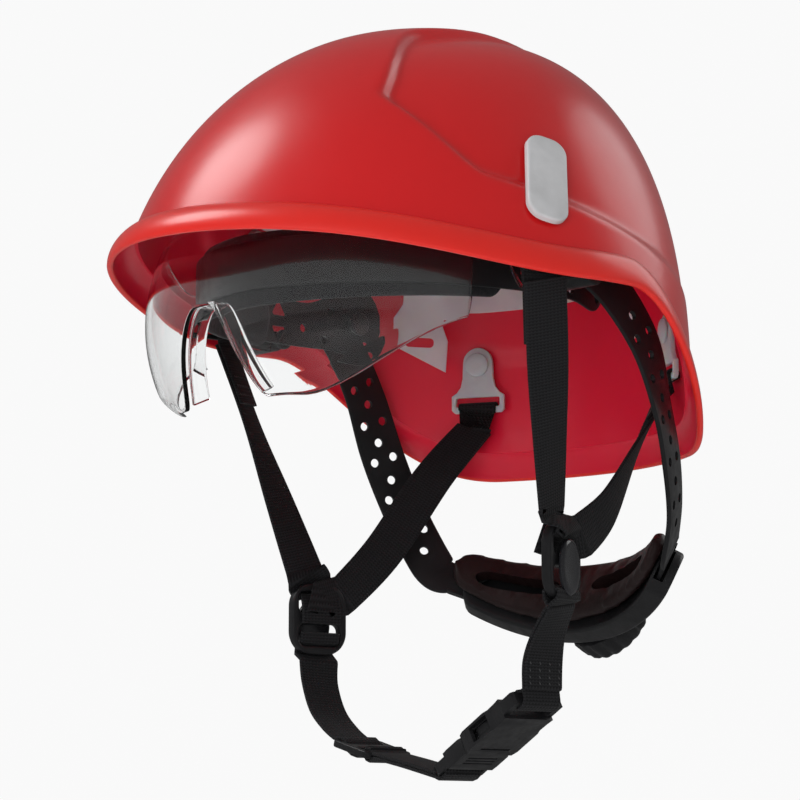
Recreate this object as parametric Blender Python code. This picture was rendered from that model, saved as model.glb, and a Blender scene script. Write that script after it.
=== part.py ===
"""Climbing-style safety helmet with a retractable clear visor, a ratchet
headband and a four-point chin strap.

Frame: +Z up, the brow faces -Y, the wearer's left is +X.  The origin is the
middle of the headband, level with the brow.  Everything is in metres.
"""
import math

import bmesh
import bpy
from mathutils import Matrix, Vector

MM = 0.001
GAP = 0.3 * MM

# Outer shell
SHELL_HALF_WIDTH = 116 * MM
SHELL_FRONT = 131 * MM
SHELL_REAR = 127 * MM
SHELL_PLAN_POWER = 1.9
SHELL_EGG = 0.11
SHELL_CROWN = 136 * MM
SHELL_EQUATOR = -25 * MM
SHELL_PROFILE_POWER = 2.2
SHELL_SKIRT_FLARE = 0.5
CROWN_SHIFT = 25 * MM
SHELL_WALL = 2.8 * MM
CREASE_FRONT = 40 * MM
CREASE_SIDE = 23 * MM
CREASE_REAR = -32 * MM
SKIRT_START = 25 * MM
SKIRT_END = 112 * MM
BRIM_DROP = 11.6 * MM
BRIM_FRONT = 10.5 * MM
BRIM_SIDE = 4.7 * MM
RECESS_DEPTH = 4.5 * MM

# Accessory slots and their covers
SLOT_CENTRE = Vector((0, -8 * MM, 51 * MM))
SLOT_SIZE = (11 * MM, 30 * MM)
COVER_SIZE = (18 * MM, 43 * MM)
COVER_THICK = 3.4 * MM
COVER_LIFT = 3.4 * MM
COVER_CORNER = 7 * MM
SLOT_LEAN = 0.33
SHANK_REACH = 5 * MM
POCKET_CLEAR = 14 * MM
SHELL_COLUMNS = 60
DOME_ROWS = 12
BRIM_ROWS = 3

# Suspension cradle: a hub, six arms and a belt cut from one gridded dome
CRADLE_OFFSET = 22.0 * MM
CRADLE_THICK = 1.6 * MM
CRADLE_COLUMNS = 48
CRADLE_ROWS = 10
CRADLE_DEPTH = 0.97
HUB_ROWS = 2
BELT_ROW = 7
ARM_ROWS = 9
ARM_COLUMNS = (3, 4, 10, 11, 17, 18)

# Headband ellipse, shared by the sweatband
BAND_HALF_WIDTH = 80 * MM
BAND_HALF_LENGTH = 92 * MM
BAND_CENTRE_Y = 8 * MM
BAND_THICK = 1.8 * MM
BAND_REACH = math.radians(118)
BAND_LOW = 10 * MM
BAND_HIGH = 30 * MM
BAND_TEMPLE_RISE = 10 * MM
SWEAT_THICK = 3.5 * MM
SWEAT_REACH = math.radians(80)
SWEAT_LOW = 4 * MM
SWEAT_HIGH = 34 * MM
TEMPLE = Vector((0, 40 * MM, 22 * MM))
PEG_RADIUS = 3.0 * MM
PEG_HEAD_RADIUS = 5.0 * MM
PEG_HEAD = 1.8 * MM
PEG_SPAN = (72.4 * MM, 88.4 * MM)

# Visor
LENS_HALF_WIDTH = 92.5 * MM
LENS_REACH = 97 * MM
LENS_CENTRE_Y = -5 * MM
LENS_POWER = 2.4
LENS_THICK = 2.0 * MM
LENS_BULGE_RADIUS = 75 * MM
LENS_BULGE_HEIGHT = 5 * MM
LENS_ROWS = 5
WING_END = math.radians(75)
PIVOT = Vector((0, 10 * MM, 14 * MM))
PIVOT_PIN_RADIUS = 3.0 * MM
PIVOT_SHOULDER_RADIUS = 4.4 * MM
PIVOT_WALL = 110.5 * MM

# Nape unit: everything lies on arcs about one axis that leans back
NAPE_CENTRE = Vector((0, 114 * MM, -103.5 * MM))
NAPE_TILT = math.radians(33)
RACK_RADIUS = 102 * MM
RACK_THICK = 3.0 * MM
PINION_PITCH_RADIUS = 5.0 * MM
PINION_TEETH = 12
KNOB_RADIUS = 19 * MM
KNOB_DEPTH = 12 * MM
SHAFT_RADIUS = 4 * MM
HOUSING_SPAN = math.radians(38)
HOUSING_FRONT = 98.6 * MM
HOUSING_REAR = 108 * MM
HOUSING_END_HALF_HEIGHT = 10.5 * MM
HOUSING_TOP = 12 * MM
HOUSING_DROP = 18 * MM
CHANNEL_HALF_HEIGHT = 8.0 * MM
PAD_SPAN = math.radians(43)
PAD_FRONT = 90.5 * MM
PAD_REAR = 98.2 * MM
PAD_HALF_HEIGHT = 16 * MM
PAD_END_HALF_HEIGHT = 9.5 * MM
TOOTH_TIP = 4.2 * MM
TOOTH_ROOT = 6.2 * MM
RACK_BACK = 7.6 * MM
RACK_START = math.radians(-14)
RACK_STOP = math.radians(41.5)
RACK_TOOTHED = math.radians(13)
NAPE_STRAP_THICK = 2.0 * MM
NAPE_STRAP_END = math.radians(51)

# Webbing and buckle
WEB_WIDTH = 20 * MM
REAR_WEB_WIDTH = 18 * MM
WEB_THICK = 1.5 * MM
DOUBLE_THICK = 3.0 * MM
PLATE_THICK = 2.4 * MM
CHIN_Y = 20 * MM
FRONT_TOP = Vector((104.2 * MM, -11 * MM, 17.6 * MM))
REAR_ANCHOR = Vector((60.5 * MM, 101.5 * MM, 2 * MM))
REAR_NORMAL = Vector((0.5, 0.866, 0.02))
DIVIDER = {1: Vector((79, 20, -97)) * MM, -1: Vector((-77, 21, -111)) * MM}
FRONT_TURN = {1: (0.1, 0.99, 0.0), -1: (-0.5, 0.86, 0.0)}
DIVIDER_HALF = (14 * MM, 15.5 * MM)
DIVIDER_THICK = 4.5 * MM
DIVIDER_YAW = {1: (-0.35, 0.94, 0.0), -1: (0.1, 0.99, 0.0)}
CAM_HALF = (8.5 * MM, 11.5 * MM)
CAM_THICK = 2.6 * MM
CAM_LIFT = 1.7 * MM
CAM_PIVOT_Y = 8.0 * MM
LADDER = Vector((-38.5 * MM, CHIN_Y, -168.5 * MM))
LADDER_AXIS = Vector((0.965, 0, -0.262)).normalized()
BUCKLE_TOP = Vector((63 * MM, CHIN_Y, -152 * MM))
BUCKLE_AXIS = Vector((-0.869, 0, -0.495)).normalized()


# ---------------------------------------------------------------- helpers

def clear_scene():
    for obj in list(bpy.data.objects):
        bpy.data.objects.remove(obj, do_unlink=True)


def material(name, colour, roughness, metallic=0.0, alpha=1.0):
    mat = bpy.data.materials.new(name)
    mat.use_nodes = True
    shader = mat.node_tree.nodes["Principled BSDF"]
    shader.inputs["Base Color"].default_value = (*colour, 1.0)
    shader.inputs["Roughness"].default_value = roughness
    shader.inputs["Metallic"].default_value = metallic
    shader.inputs["Alpha"].default_value = alpha
    return mat


def smoothstep(low, high, value):
    t = min(max((value - low) / (high - low), 0.0), 1.0)
    return t * t * (3 - 2 * t)


def signed_power(base, power):
    return math.copysign(abs(base) ** power, base)


def rounded(points, closed=True):
    """Ramp through control values with a Catmull-Rom curve."""
    count = len(points)

    def at(u):
        span = count if closed else count - 1
        f = min(u * span, span - 1e-9)
        i = int(f)
        t = f - i
        picks = []
        for k in (-1, 0, 1, 2):
            j = (i + k) % count if closed else min(max(i + k, 0), count - 1)
            picks.append(points[j])
        a, b, c, d = picks
        return 0.5 * ((2 * b) + (c - a) * t + (2 * a - 5 * b + 4 * c - d) * t * t
                      + (3 * b - a - 3 * c + d) * t ** 3)
    return at


def finish(bm, name, mat, origin=None, smooth_angle=0.6, outward=True):
    """Turn a bmesh in world coordinates into a named object on its origin."""
    if outward:
        bmesh.ops.recalc_face_normals(bm, faces=bm.faces)
    mesh = bpy.data.meshes.new(name)
    origin = origin or Vector((0, 0, 0))
    bmesh.ops.translate(bm, verts=bm.verts, vec=-origin)
    bm.to_mesh(mesh)
    bm.free()
    mesh.shade_smooth()
    mesh.set_sharp_from_angle(angle=smooth_angle)
    obj = bpy.data.objects.new(name, mesh)
    bpy.context.scene.collection.objects.link(obj)
    obj.location = origin
    mesh.materials.append(mat)
    return obj


def sheet_solid(outer, inner, columns, rows, wrap=False, pole=False, keep=None):
    """Closed solid between two gridded surfaces outer(i, j) and inner(i, j).

    i runs round, j runs down.  With wrap the columns close into a ring; with
    pole the first row is one point.  keep(i, j) says which cells exist.
    """
    bm = bmesh.new()
    last = columns if wrap else columns + 1
    layers = []
    for surface in (outer, inner):
        verts = {}
        for j in range(rows + 1):
            for i in range(last):
                if pole and j == 0:
                    if i == 0:
                        verts[(0, 0)] = bm.verts.new(surface(0, 0))
                    verts[(i, 0)] = verts[(0, 0)]
                else:
                    verts[(i, j)] = bm.verts.new(surface(i, j))
        layers.append(verts)
    cells = [(i, j) for i in range(columns) for j in range(rows) if keep is None or keep(i, j)]
    rim = {}
    for i, j in cells:
        k = (i + 1) % last
        ring = [(i, j), (i, j + 1), (k, j + 1), (k, j)]
        if pole and j == 0:
            ring = [(0, 0), (i, 1), (k, 1)]
        bm.faces.new([layers[0][key] for key in ring])
        bm.faces.new([layers[1][key] for key in reversed(ring)])
        for a, b in zip(ring, ring[1:] + ring[:1]):
            if (b, a) in rim:
                del rim[(b, a)]
            else:
                rim[(a, b)] = True
    for a, b in rim:
        if layers[0][a] is not layers[0][b]:
            bm.faces.new([layers[0][b], layers[0][a], layers[1][a], layers[1][b]])
    loose = [v for v in bm.verts if not v.link_faces]
    bmesh.ops.delete(bm, geom=loose, context="VERTS")
    return bm


def prism(outline, frame, thick):
    """Extrude a 2-D outline (local XY) by thick along local Z, centred."""
    bm = bmesh.new()
    low = [bm.verts.new(frame @ Vector((x, y, -thick / 2))) for x, y in outline]
    high = [bm.verts.new(frame @ Vector((x, y, thick / 2))) for x, y in outline]
    bm.faces.new(low)
    bm.faces.new(high)
    count = len(outline)
    for i in range(count):
        k = (i + 1) % count
        bm.faces.new([low[i], low[k], high[k], high[i]])
    return bm


def turned(profile, frame, segments):
    """Solid of revolution about local Z; profile is (radius, z), ends on the axis."""
    bm = bmesh.new()
    rings = []
    for radius, z in profile:
        if radius == 0:
            rings.append([bm.verts.new(frame @ Vector((0, 0, z)))] * segments)
            continue
        ring = []
        for i in range(segments):
            a = math.tau * i / segments
            ring.append(bm.verts.new(frame @ Vector((radius * math.cos(a), radius * math.sin(a), z))))
        rings.append(ring)
    for top, low in zip(rings, rings[1:]):
        for i in range(segments):
            k = (i + 1) % segments
            ring = [top[i], top[k], low[k], low[i]]
            distinct = [v for n, v in enumerate(ring) if v not in ring[:n]]
            bm.faces.new(distinct)
    return bm


def strap_solid(path, widths, width, thick, steps):
    """Flat strap through path, its width along the blended width directions."""
    along = rounded(path, closed=False)
    across = rounded(widths, closed=False)
    bm = bmesh.new()
    rings = []
    for s in range(steps + 1):
        u = s / steps
        here = along(u)
        tangent = (along(min(u + 0.01, 1)) - along(max(u - 0.01, 0))).normalized()
        side = across(u)
        side = (side - tangent * side.dot(tangent)).normalized()
        normal = tangent.cross(side)
        ring = []
        for sx, sz in ((-1, -1), (1, -1), (1, 1), (-1, 1)):
            ring.append(bm.verts.new(here + side * sx * width / 2 + normal * sz * thick / 2))
        rings.append(ring)
    for a, b in zip(rings, rings[1:]):
        for i in range(4):
            k = (i + 1) % 4
            bm.faces.new([a[i], a[k], b[k], b[i]])
    bm.faces.new(rings[0][::-1])
    bm.faces.new(rings[-1])
    return bm


def round_outline(half_x, half_y, corner, steps=4):
    """Rounded rectangle outline."""
    points = []
    for cx, cy, start in ((1, 1, 0), (-1, 1, 90), (-1, -1, 180), (1, -1, 270)):
        for s in range(steps + 1):
            a = math.radians(start + 90 * s / steps)
            points.append((cx * (half_x - corner) + corner * math.cos(a),
                           cy * (half_y - corner) + corner * math.sin(a)))
    return points


def basis(origin, x_axis, y_axis):
    """Matrix whose local axes are x_axis, y_axis and their normal."""
    x = x_axis.normalized()
    z = x.cross(y_axis).normalized()
    y = z.cross(x)
    return Matrix.Translation(origin) @ Matrix((x, y, z)).transposed().to_4x4()


def side_name(stem, side):
    return stem + ("_left" if side > 0 else "_right")


def combine(obj, tools, operation="DIFFERENCE"):
    """Cut tool solids out of an object, or fuse them into it."""
    for bm in tools:
        bmesh.ops.recalc_face_normals(bm, faces=bm.faces)
        mesh = bpy.data.meshes.new("cutter")
        bm.to_mesh(mesh)
        bm.free()
        cutter = bpy.data.objects.new("cutter", mesh)
        bpy.context.scene.collection.objects.link(cutter)
        cutter.hide_render = True
        cutter.display_type = "WIRE"
        mod = obj.modifiers.new("combine", "BOOLEAN")
        mod.operation = operation
        mod.object = cutter
        mod.solver = "EXACT"


# ------------------------------------------------------- shell surface

def crease_height(y):
    rise = (CREASE_FRONT - CREASE_SIDE) * smoothstep(0, SHELL_FRONT, -y)
    fall = (CREASE_REAR - CREASE_SIDE) * smoothstep(SKIRT_START, SKIRT_END, y)
    return CREASE_SIDE + rise + fall


def shell_section(turn, z):
    """Point of the smooth dome at plan angle turn (0 = front) and height z."""
    c = -math.cos(turn)
    s = math.sin(turn)
    power = 2 / SHELL_PLAN_POWER
    length = SHELL_FRONT if c < 0 else SHELL_REAR
    y = length * signed_power(c, power)
    x = SHELL_HALF_WIDTH * signed_power(s, power) * (1 + SHELL_EGG * c)
    t = min(max((z - SHELL_EQUATOR) / (SHELL_CROWN - SHELL_EQUATOR), 0), 1)
    if z > SHELL_EQUATOR:
        scale = (1 - t ** SHELL_PROFILE_POWER) ** (1 / SHELL_PROFILE_POWER)
    else:
        scale = 1 + SHELL_SKIRT_FLARE * (SHELL_EQUATOR - z)
    return Vector((x * scale, y * scale + CROWN_SHIFT * t * t, z))


def recess_amount(p):
    """0 on the raised front, spine and lower band; 1 deep in a side recess."""
    x = abs(p.x)
    y = p.y
    spine = 28 * MM + 30 * MM * smoothstep(8 * MM, 62 * MM, -y)
    lower = 43 * MM - 0.28 * y + 30 * MM * smoothstep(32 * MM, 62 * MM, -y)
    a = (x - spine) / (9 * MM)
    b = (p.z - lower) / (9 * MM)
    blend = 0.5 * (a + b - math.sqrt((a - b) ** 2 + 0.5))
    return smoothstep(-0.45, 0.55, blend)


def recess_depth(p):
    fade = 1 - 0.75 * smoothstep(-10 * MM, 90 * MM, p.y)
    return RECESS_DEPTH * fade * recess_amount(p)


def dome_base(turn, down):
    """Smooth dome point; down runs from 0 at the crown to 1 at the crease."""
    foot = shell_section(turn, CREASE_SIDE)
    for _ in range(3):
        foot = shell_section(turn, crease_height(foot.y))
    z = foot.z + (SHELL_CROWN - foot.z) * math.cos(down * math.pi / 2)
    return shell_section(turn, min(z, SHELL_CROWN - 1e-7))


def dome_normal(turn, down):
    if down < 0.01:
        return Vector((0, -0.15, 1)).normalized()
    step = 0.01
    across = dome_base(turn + step, down) - dome_base(turn - step, down)
    fall = dome_base(turn, min(down + step, 1)) - dome_base(turn, down - step)
    return fall.cross(across).normalized()


def dome_point(turn, down, inset=0.0):
    base = dome_base(turn, down)
    normal = dome_normal(turn, down)
    return base - normal * (recess_depth(base) + inset)


def brim_point(turn, out, inset=0.0):
    """Brim from the crease (out = 0) to its lower edge (out = 1)."""
    base = dome_base(turn, 1)
    normal = dome_normal(turn, 1)
    normal.z = 0
    normal.normalize()
    reach = BRIM_SIDE + (BRIM_FRONT - BRIM_SIDE) * smoothstep(0.15, 1.0, math.cos(turn))
    swell = math.sin(out * math.pi / 2) ** 0.8
    drop = BRIM_DROP * (1 - math.cos(out * math.pi / 2)) ** 0.7
    point = base + normal * reach * swell
    point.z -= drop
    return point - normal * inset


def shell_grid(inset):
    def at(i, j):
        turn = math.tau * i / SHELL_COLUMNS
        if j <= DOME_ROWS:
            return dome_point(turn, j / DOME_ROWS, inset)
        out = (j - DOME_ROWS) / BRIM_ROWS
        return brim_point(turn, out, inset)
    return at


def side_surface(y, z, side, inset=0.0):
    """Point and normal of the side of the dome nearest to a given y and z."""
    turn = math.pi / 2
    for _ in range(30):
        p = shell_section(turn, z)
        turn += (y - p.y) / SHELL_REAR * 0.7
    a = shell_section(turn + 0.01, z) - shell_section(turn - 0.01, z)
    b = shell_section(turn, z - MM) - shell_section(turn, z + MM)
    normal = b.cross(a).normalized()
    p = shell_section(turn, z) - normal * (recess_depth(p) + inset)
    return Vector((p.x * side, p.y, p.z)), Vector((normal.x * side, normal.y, normal.z))


def make_shell(mat):
    bm = sheet_solid(shell_grid(0), shell_grid(SHELL_WALL), SHELL_COLUMNS, DOME_ROWS + BRIM_ROWS,
                     wrap=True, pole=True)
    shell = finish(bm, "shell", mat)
    tools = []
    for side in (-1, 1):
        frame = slot_frame(side)
        slot = round_outline(SLOT_SIZE[0] / 2, SLOT_SIZE[1] / 2, SLOT_SIZE[0] / 2 - GAP)
        tools.append(prism(slot, frame, 2 * POCKET_CLEAR))
        pocket = round_outline(COVER_SIZE[0] / 2 + GAP, COVER_SIZE[1] / 2 + GAP, COVER_CORNER + GAP)
        floor = COVER_LIFT - COVER_THICK / 2 - GAP
        middle = Matrix.Translation((0, 0, floor + POCKET_CLEAR / 2))
        tools.append(prism(pocket, frame @ middle, POCKET_CLEAR))
    combine(shell, tools)
    return shell


def slot_frame(side):
    """Local X forward, local Y up the wall, local Z out of the slot.

    Y is the chord between the wall at the slot's upper and lower ends.
    """
    half = Vector((0, SLOT_LEAN, 1)) * COVER_SIZE[1] * 0.45
    normal = side_surface(SLOT_CENTRE.y, SLOT_CENTRE.z, side)[1]
    top = side_surface(SLOT_CENTRE.y + half.y, SLOT_CENTRE.z + half.z, side)[0]
    low = side_surface(SLOT_CENTRE.y - half.y, SLOT_CENTRE.z - half.z, side)[0]
    up = (top - low).normalized()
    forward = up.cross(normal).normalized()
    return basis((top + low) / 2, forward, up)


def make_slot_cover(side, mat):
    frame = slot_frame(side)
    cap = prism(round_outline(COVER_SIZE[0] / 2, COVER_SIZE[1] / 2, COVER_CORNER),
                frame @ Matrix.Translation((0, 0, COVER_LIFT)), COVER_THICK)
    obj = finish(cap, side_name("slot_cover", side), mat)
    outline = round_outline(SLOT_SIZE[0] / 2 - GAP, SLOT_SIZE[1] / 2 - GAP, SLOT_SIZE[0] / 2 - 2 * GAP)
    middle = Matrix.Translation((0, 0, (COVER_LIFT - SHANK_REACH) / 2))
    shank = prism(outline, frame @ middle, COVER_LIFT + SHANK_REACH)
    combine(obj, [shank], "UNION")
    return obj


# ------------------------------------------------------------- cradle

def cradle_surface(inset):
    def at(i, j):
        turn = math.tau * i / CRADLE_COLUMNS
        down = CRADLE_DEPTH * j / CRADLE_ROWS
        base = dome_base(turn, down)
        return base - dome_normal(turn, down) * (CRADLE_OFFSET + inset)
    return at


def cradle_cell(i, j):
    """Hub at the crown, six arms running down from it and a belt joining them."""
    arm = i in ARM_COLUMNS or CRADLE_COLUMNS - 1 - i in ARM_COLUMNS
    return j < HUB_ROWS or j == BELT_ROW or arm and j <= ARM_ROWS


def make_cradle(mat):
    bm = sheet_solid(cradle_surface(0), cradle_surface(CRADLE_THICK), CRADLE_COLUMNS, CRADLE_ROWS,
                     wrap=True, pole=True, keep=cradle_cell)
    return finish(bm, "cradle", mat)


# ------------------------------------------------------ headband and pads

def band_point(turn, z, offset=0.0):
    """Ellipse of the headband; turn 0 is the brow, offset is outward."""
    x = BAND_HALF_WIDTH * math.sin(turn)
    y = -BAND_HALF_LENGTH * math.cos(turn)
    out = Vector((x / BAND_HALF_WIDTH ** 2, y / BAND_HALF_LENGTH ** 2, 0)).normalized()
    return Vector((x, y + BAND_CENTRE_Y, z)) + out * offset


def band_solid(reach, low, high, inner, thick, columns):
    """Upright band of constant thickness along the headband ellipse."""
    def surface(offset):
        def at(i, j):
            turn = reach * (2 * i / columns - 1)
            share = abs(turn) / reach
            z = high(share) if j == 0 else low(share)
            return band_point(turn, z, offset)
        return at
    return sheet_solid(surface(inner + thick), surface(inner), columns, 1)


def make_headband(mat):
    def low(share):
        return BAND_LOW - 4 * MM * smoothstep(0.85, 1.0, share)

    def high(share):
        return BAND_HIGH + BAND_TEMPLE_RISE * smoothstep(0.8, 0.95, share)
    bm = band_solid(BAND_REACH, low, high, 0, BAND_THICK, 40)
    band = finish(bm, "headband_front", mat)
    combine(band, [peg_cutter(-1), peg_cutter(1)])
    return band


def make_sweatband(mat):
    def low(share):
        return SWEAT_LOW + 3 * MM * share ** 2

    def high(share):
        return SWEAT_HIGH - 2 * MM * share
    bm = band_solid(SWEAT_REACH, low, high, -SWEAT_THICK - GAP, SWEAT_THICK, 28)
    return finish(bm, "sweatband", mat)


# -------------------------------------------------------------- visor

def lens_top(angle):
    """Upper edge: highest over the brow, dipping to the wings, then the arm."""
    share = abs(angle) / WING_END
    dip = 40 * MM - 16 * MM * min(share, 1) ** 2
    return dip + 9 * MM * smoothstep(0.86, 1.2, share)


def lens_low(angle):
    """Lower edge: nose notch, lens bottom, rising wing, then the arm."""
    if abs(angle) > WING_END:
        return 20 * MM - 12 * MM * smoothstep(math.radians(83), math.radians(88), abs(angle))
    x = abs(lens_point(angle, 0).x)
    notch = 3 * MM - 38 * MM * smoothstep(4 * MM, 31 * MM, x)
    wing = 30 * MM * min(max((x - 45 * MM) / (45 * MM), 0), 1) ** 2.2
    return notch + wing


def lens_point(angle, z, offset=0.0):
    """Squarish in plan; bulged between its upper and lower edges in front."""
    power = 2 / LENS_POWER
    fade = 1 - smoothstep(math.radians(55), math.radians(82), abs(angle))
    bulge = fade * (z - LENS_BULGE_HEIGHT) ** 2 / (2 * LENS_BULGE_RADIUS)
    x = (LENS_HALF_WIDTH + offset - bulge) * signed_power(math.sin(angle), power)
    y = (LENS_REACH + offset - bulge) * signed_power(math.cos(angle), power)
    return Vector((x, LENS_CENTRE_Y - y, z))


def lens_angles():
    half = [0, 3, 6, 9, 12, 15.5, 19, 23, 28, 34, 41, 48, 55, 62, 69, 74.8, 75.2, 79, 83, 85.5, 88, 90, 93.6]
    angles = [math.radians(a) for a in half]
    return [-a for a in reversed(angles[1:])] + angles


def make_visor(mat):
    angles = lens_angles()

    def surface(offset):
        def at(i, j):
            a = angles[i]
            share = j / LENS_ROWS
            return lens_point(a, lens_top(a) * (1 - share) + lens_low(a) * share, offset)
        return at
    bm = sheet_solid(surface(0), surface(-LENS_THICK), len(angles) - 1, LENS_ROWS)
    lens = finish(bm, "visor_lens", mat, PIVOT)
    tools = []
    radius = PIVOT_PIN_RADIUS + GAP
    reach = 9 * MM
    for side in (-1, 1):
        place = Matrix.Translation((side * LENS_HALF_WIDTH, PIVOT.y, PIVOT.z))
        frame = place @ Matrix.Rotation(math.pi / 2, 4, "Y")
        tools.append(turned([(0, -reach), (radius, -reach), (radius, reach), (0, reach)], frame, 16))
    combine(lens, tools)
    return lens


def make_nose_bridge(mat):
    """Clear flange that follows the nose notch just inside the lens."""
    drop = 1.2 * MM
    width = 8 * MM
    path = []
    for degrees in (-13, -10.5, -8, -5.5, -3, 0, 3, 5.5, 8, 10.5, 13):
        angle = math.radians(degrees)
        path.append(lens_point(angle, lens_low(angle) + drop, -LENS_THICK - GAP - width / 2 - 0.8 * MM))
    widths = [Vector((0, 1, 0))] * len(path)
    bm = strap_solid(path, widths, width, 1.8 * MM, 20)
    return finish(bm, "nose_bridge", mat, PIVOT)


def make_visor_pivot(side, mat):
    """Snap pin: head inside the arm, shank through it, foot in the shell."""
    inside = LENS_HALF_WIDTH - LENS_THICK - 0.8 * MM
    outside = LENS_HALF_WIDTH + 1.2 * MM
    head = 2 * MM
    profile = [(0, inside - head), (PIVOT_SHOULDER_RADIUS, inside - head), (PIVOT_SHOULDER_RADIUS, inside),
               (PIVOT_PIN_RADIUS, inside), (PIVOT_PIN_RADIUS, outside), (PIVOT_SHOULDER_RADIUS, outside),
               (PIVOT_SHOULDER_RADIUS, PIVOT_WALL), (0, PIVOT_WALL)]
    frame = Matrix.Translation((0, PIVOT.y, PIVOT.z)) @ Matrix.Rotation(math.pi / 2 * side, 4, "Y")
    return finish(turned(profile, frame, 20), side_name("visor_pivot", side), mat)


# ---------------------------------------------------------- nape unit

def nape_frame():
    """Local Z is the arcs' common axis, local Y straight back to the knob."""
    lean = Matrix.Rotation(-NAPE_TILT, 4, "X")
    return Matrix.Translation(NAPE_CENTRE) @ lean @ Matrix.Translation((0, -RACK_RADIUS, 0))


def nape_point(angle, radius, height):
    """Point on the nape arc: angle 0 is straight back, positive to the left."""
    return nape_frame() @ Vector((radius * math.sin(angle), radius * math.cos(angle), height))


def arc_block(radius_in, radius_out, top, low, span, columns):
    """Curved block whose upper and lower edges top and low follow the share of the span."""
    def surface(radius):
        def at(i, j):
            share = 2 * i / columns - 1
            return nape_point(span * share, radius, top(share) if j == 0 else low(share))
        return at
    return sheet_solid(surface(radius_out), surface(radius_in), columns, 1)


def make_nape_housing(mat):
    """Curved case, deepest behind the knob, with a channel for both racks."""
    def top(share):
        return HOUSING_END_HALF_HEIGHT + (HOUSING_TOP - HOUSING_END_HALF_HEIGHT) * (1 - share ** 2)

    def low(share):
        return -HOUSING_END_HALF_HEIGHT - (HOUSING_DROP - HOUSING_END_HALF_HEIGHT) * (1 - share ** 2)
    bm = arc_block(HOUSING_FRONT, HOUSING_REAR, top, low, HOUSING_SPAN, 20)
    housing = finish(bm, "nape_housing", mat)
    half = RACK_THICK / 2 + 0.7 * MM
    channel = arc_block(RACK_RADIUS - half, RACK_RADIUS + half, lambda share: CHANNEL_HALF_HEIGHT,
                        lambda share: -CHANNEL_HALF_HEIGHT, HOUSING_SPAN * 1.1, 24)
    radius = SHAFT_RADIUS + GAP
    reach = HOUSING_REAR - RACK_RADIUS + 4 * MM
    bore = turned([(0, 0), (radius, 0), (radius, reach), (0, reach)], knob_frame(RACK_RADIUS), 16)
    combine(housing, [channel, bore])
    return housing


def make_nape_pad(mat):
    """Crescent cushion: deepest in the middle, its upper edge nearly straight."""
    def top(share):
        return PAD_HALF_HEIGHT - 3 * MM * share ** 2

    def low(share):
        return -PAD_HALF_HEIGHT + (2 * (PAD_HALF_HEIGHT - PAD_END_HALF_HEIGHT) - 3 * MM) * share ** 2
    bm = arc_block(PAD_FRONT, PAD_REAR, top, low, PAD_SPAN, 20)
    return finish(bm, "nape_pad", mat)


def knob_frame(radius):
    """Local Z points straight back from the pinion's centre line."""
    return nape_frame() @ Matrix.Translation((0, radius, 0)) @ Matrix.Rotation(-math.pi / 2, 4, "X")


def make_knob(mat):
    start = RACK_RADIUS + RACK_THICK / 2 + GAP
    plate = HOUSING_REAR + 0.8 * MM
    profile = [(0, 0), (SHAFT_RADIUS, 0), (SHAFT_RADIUS, plate - start),
               (KNOB_RADIUS - MM, plate - start), (KNOB_RADIUS, plate - start + MM),
               (KNOB_RADIUS - 1.5 * MM, plate - start + KNOB_DEPTH - 2 * MM),
               (KNOB_RADIUS - 4 * MM, plate - start + KNOB_DEPTH), (0, plate - start + KNOB_DEPTH)]
    bm = turned(profile, knob_frame(start), 28)
    return finish(bm, "knob", mat, nape_point(0, start, 0))


def make_pinion(mat):
    outline = []
    pitch = math.tau / PINION_TEETH
    for tooth in range(PINION_TEETH):
        centre = pitch * (tooth + 0.5)
        for offset, radius in ((-0.36, 3.8), (-0.15, 5.8), (0.15, 5.8), (0.36, 3.8)):
            a = centre + pitch * offset * 0.9
            outline.append((radius * MM * math.cos(a), radius * MM * math.sin(a)))
    frame = knob_frame(RACK_RADIUS) @ Matrix.Rotation(math.pi / 2, 4, "Z")
    bm = prism(outline, frame, RACK_THICK - 0.2 * MM)
    return finish(bm, "pinion", mat, nape_point(0, RACK_RADIUS, 0))


def make_rack(side, mat):
    """Curved toothed bar: the left one runs above the pinion, the right below."""
    pitch = math.tau * PINION_PITCH_RADIUS / PINION_TEETH / RACK_RADIUS
    tooth_steps = ((-0.32, TOOTH_ROOT), (-0.14, TOOTH_TIP), (0.14, TOOTH_TIP), (0.32, TOOTH_ROOT))
    angles = [(RACK_START, TOOTH_ROOT)]
    first = math.ceil(RACK_START / pitch) + 1
    for tooth in range(first, int(RACK_TOOTHED / pitch)):
        for offset, height in tooth_steps:
            angles.append((pitch * (tooth + offset), height))
    angles += [(RACK_TOOTHED + (RACK_STOP - RACK_TOOTHED) * k / 6, TOOTH_ROOT) for k in range(7)]

    def surface(radius):
        def at(i, j):
            angle, low = angles[i]
            height = RACK_BACK if j == 0 else low
            return nape_point(angle * side, radius, height * side)
        return at
    half = RACK_THICK / 2
    bm = sheet_solid(surface(RACK_RADIUS + half), surface(RACK_RADIUS - half), len(angles) - 1, 1)
    return finish(bm, side_name("rack", side), mat, nape_point(0, 0, 0))


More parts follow.
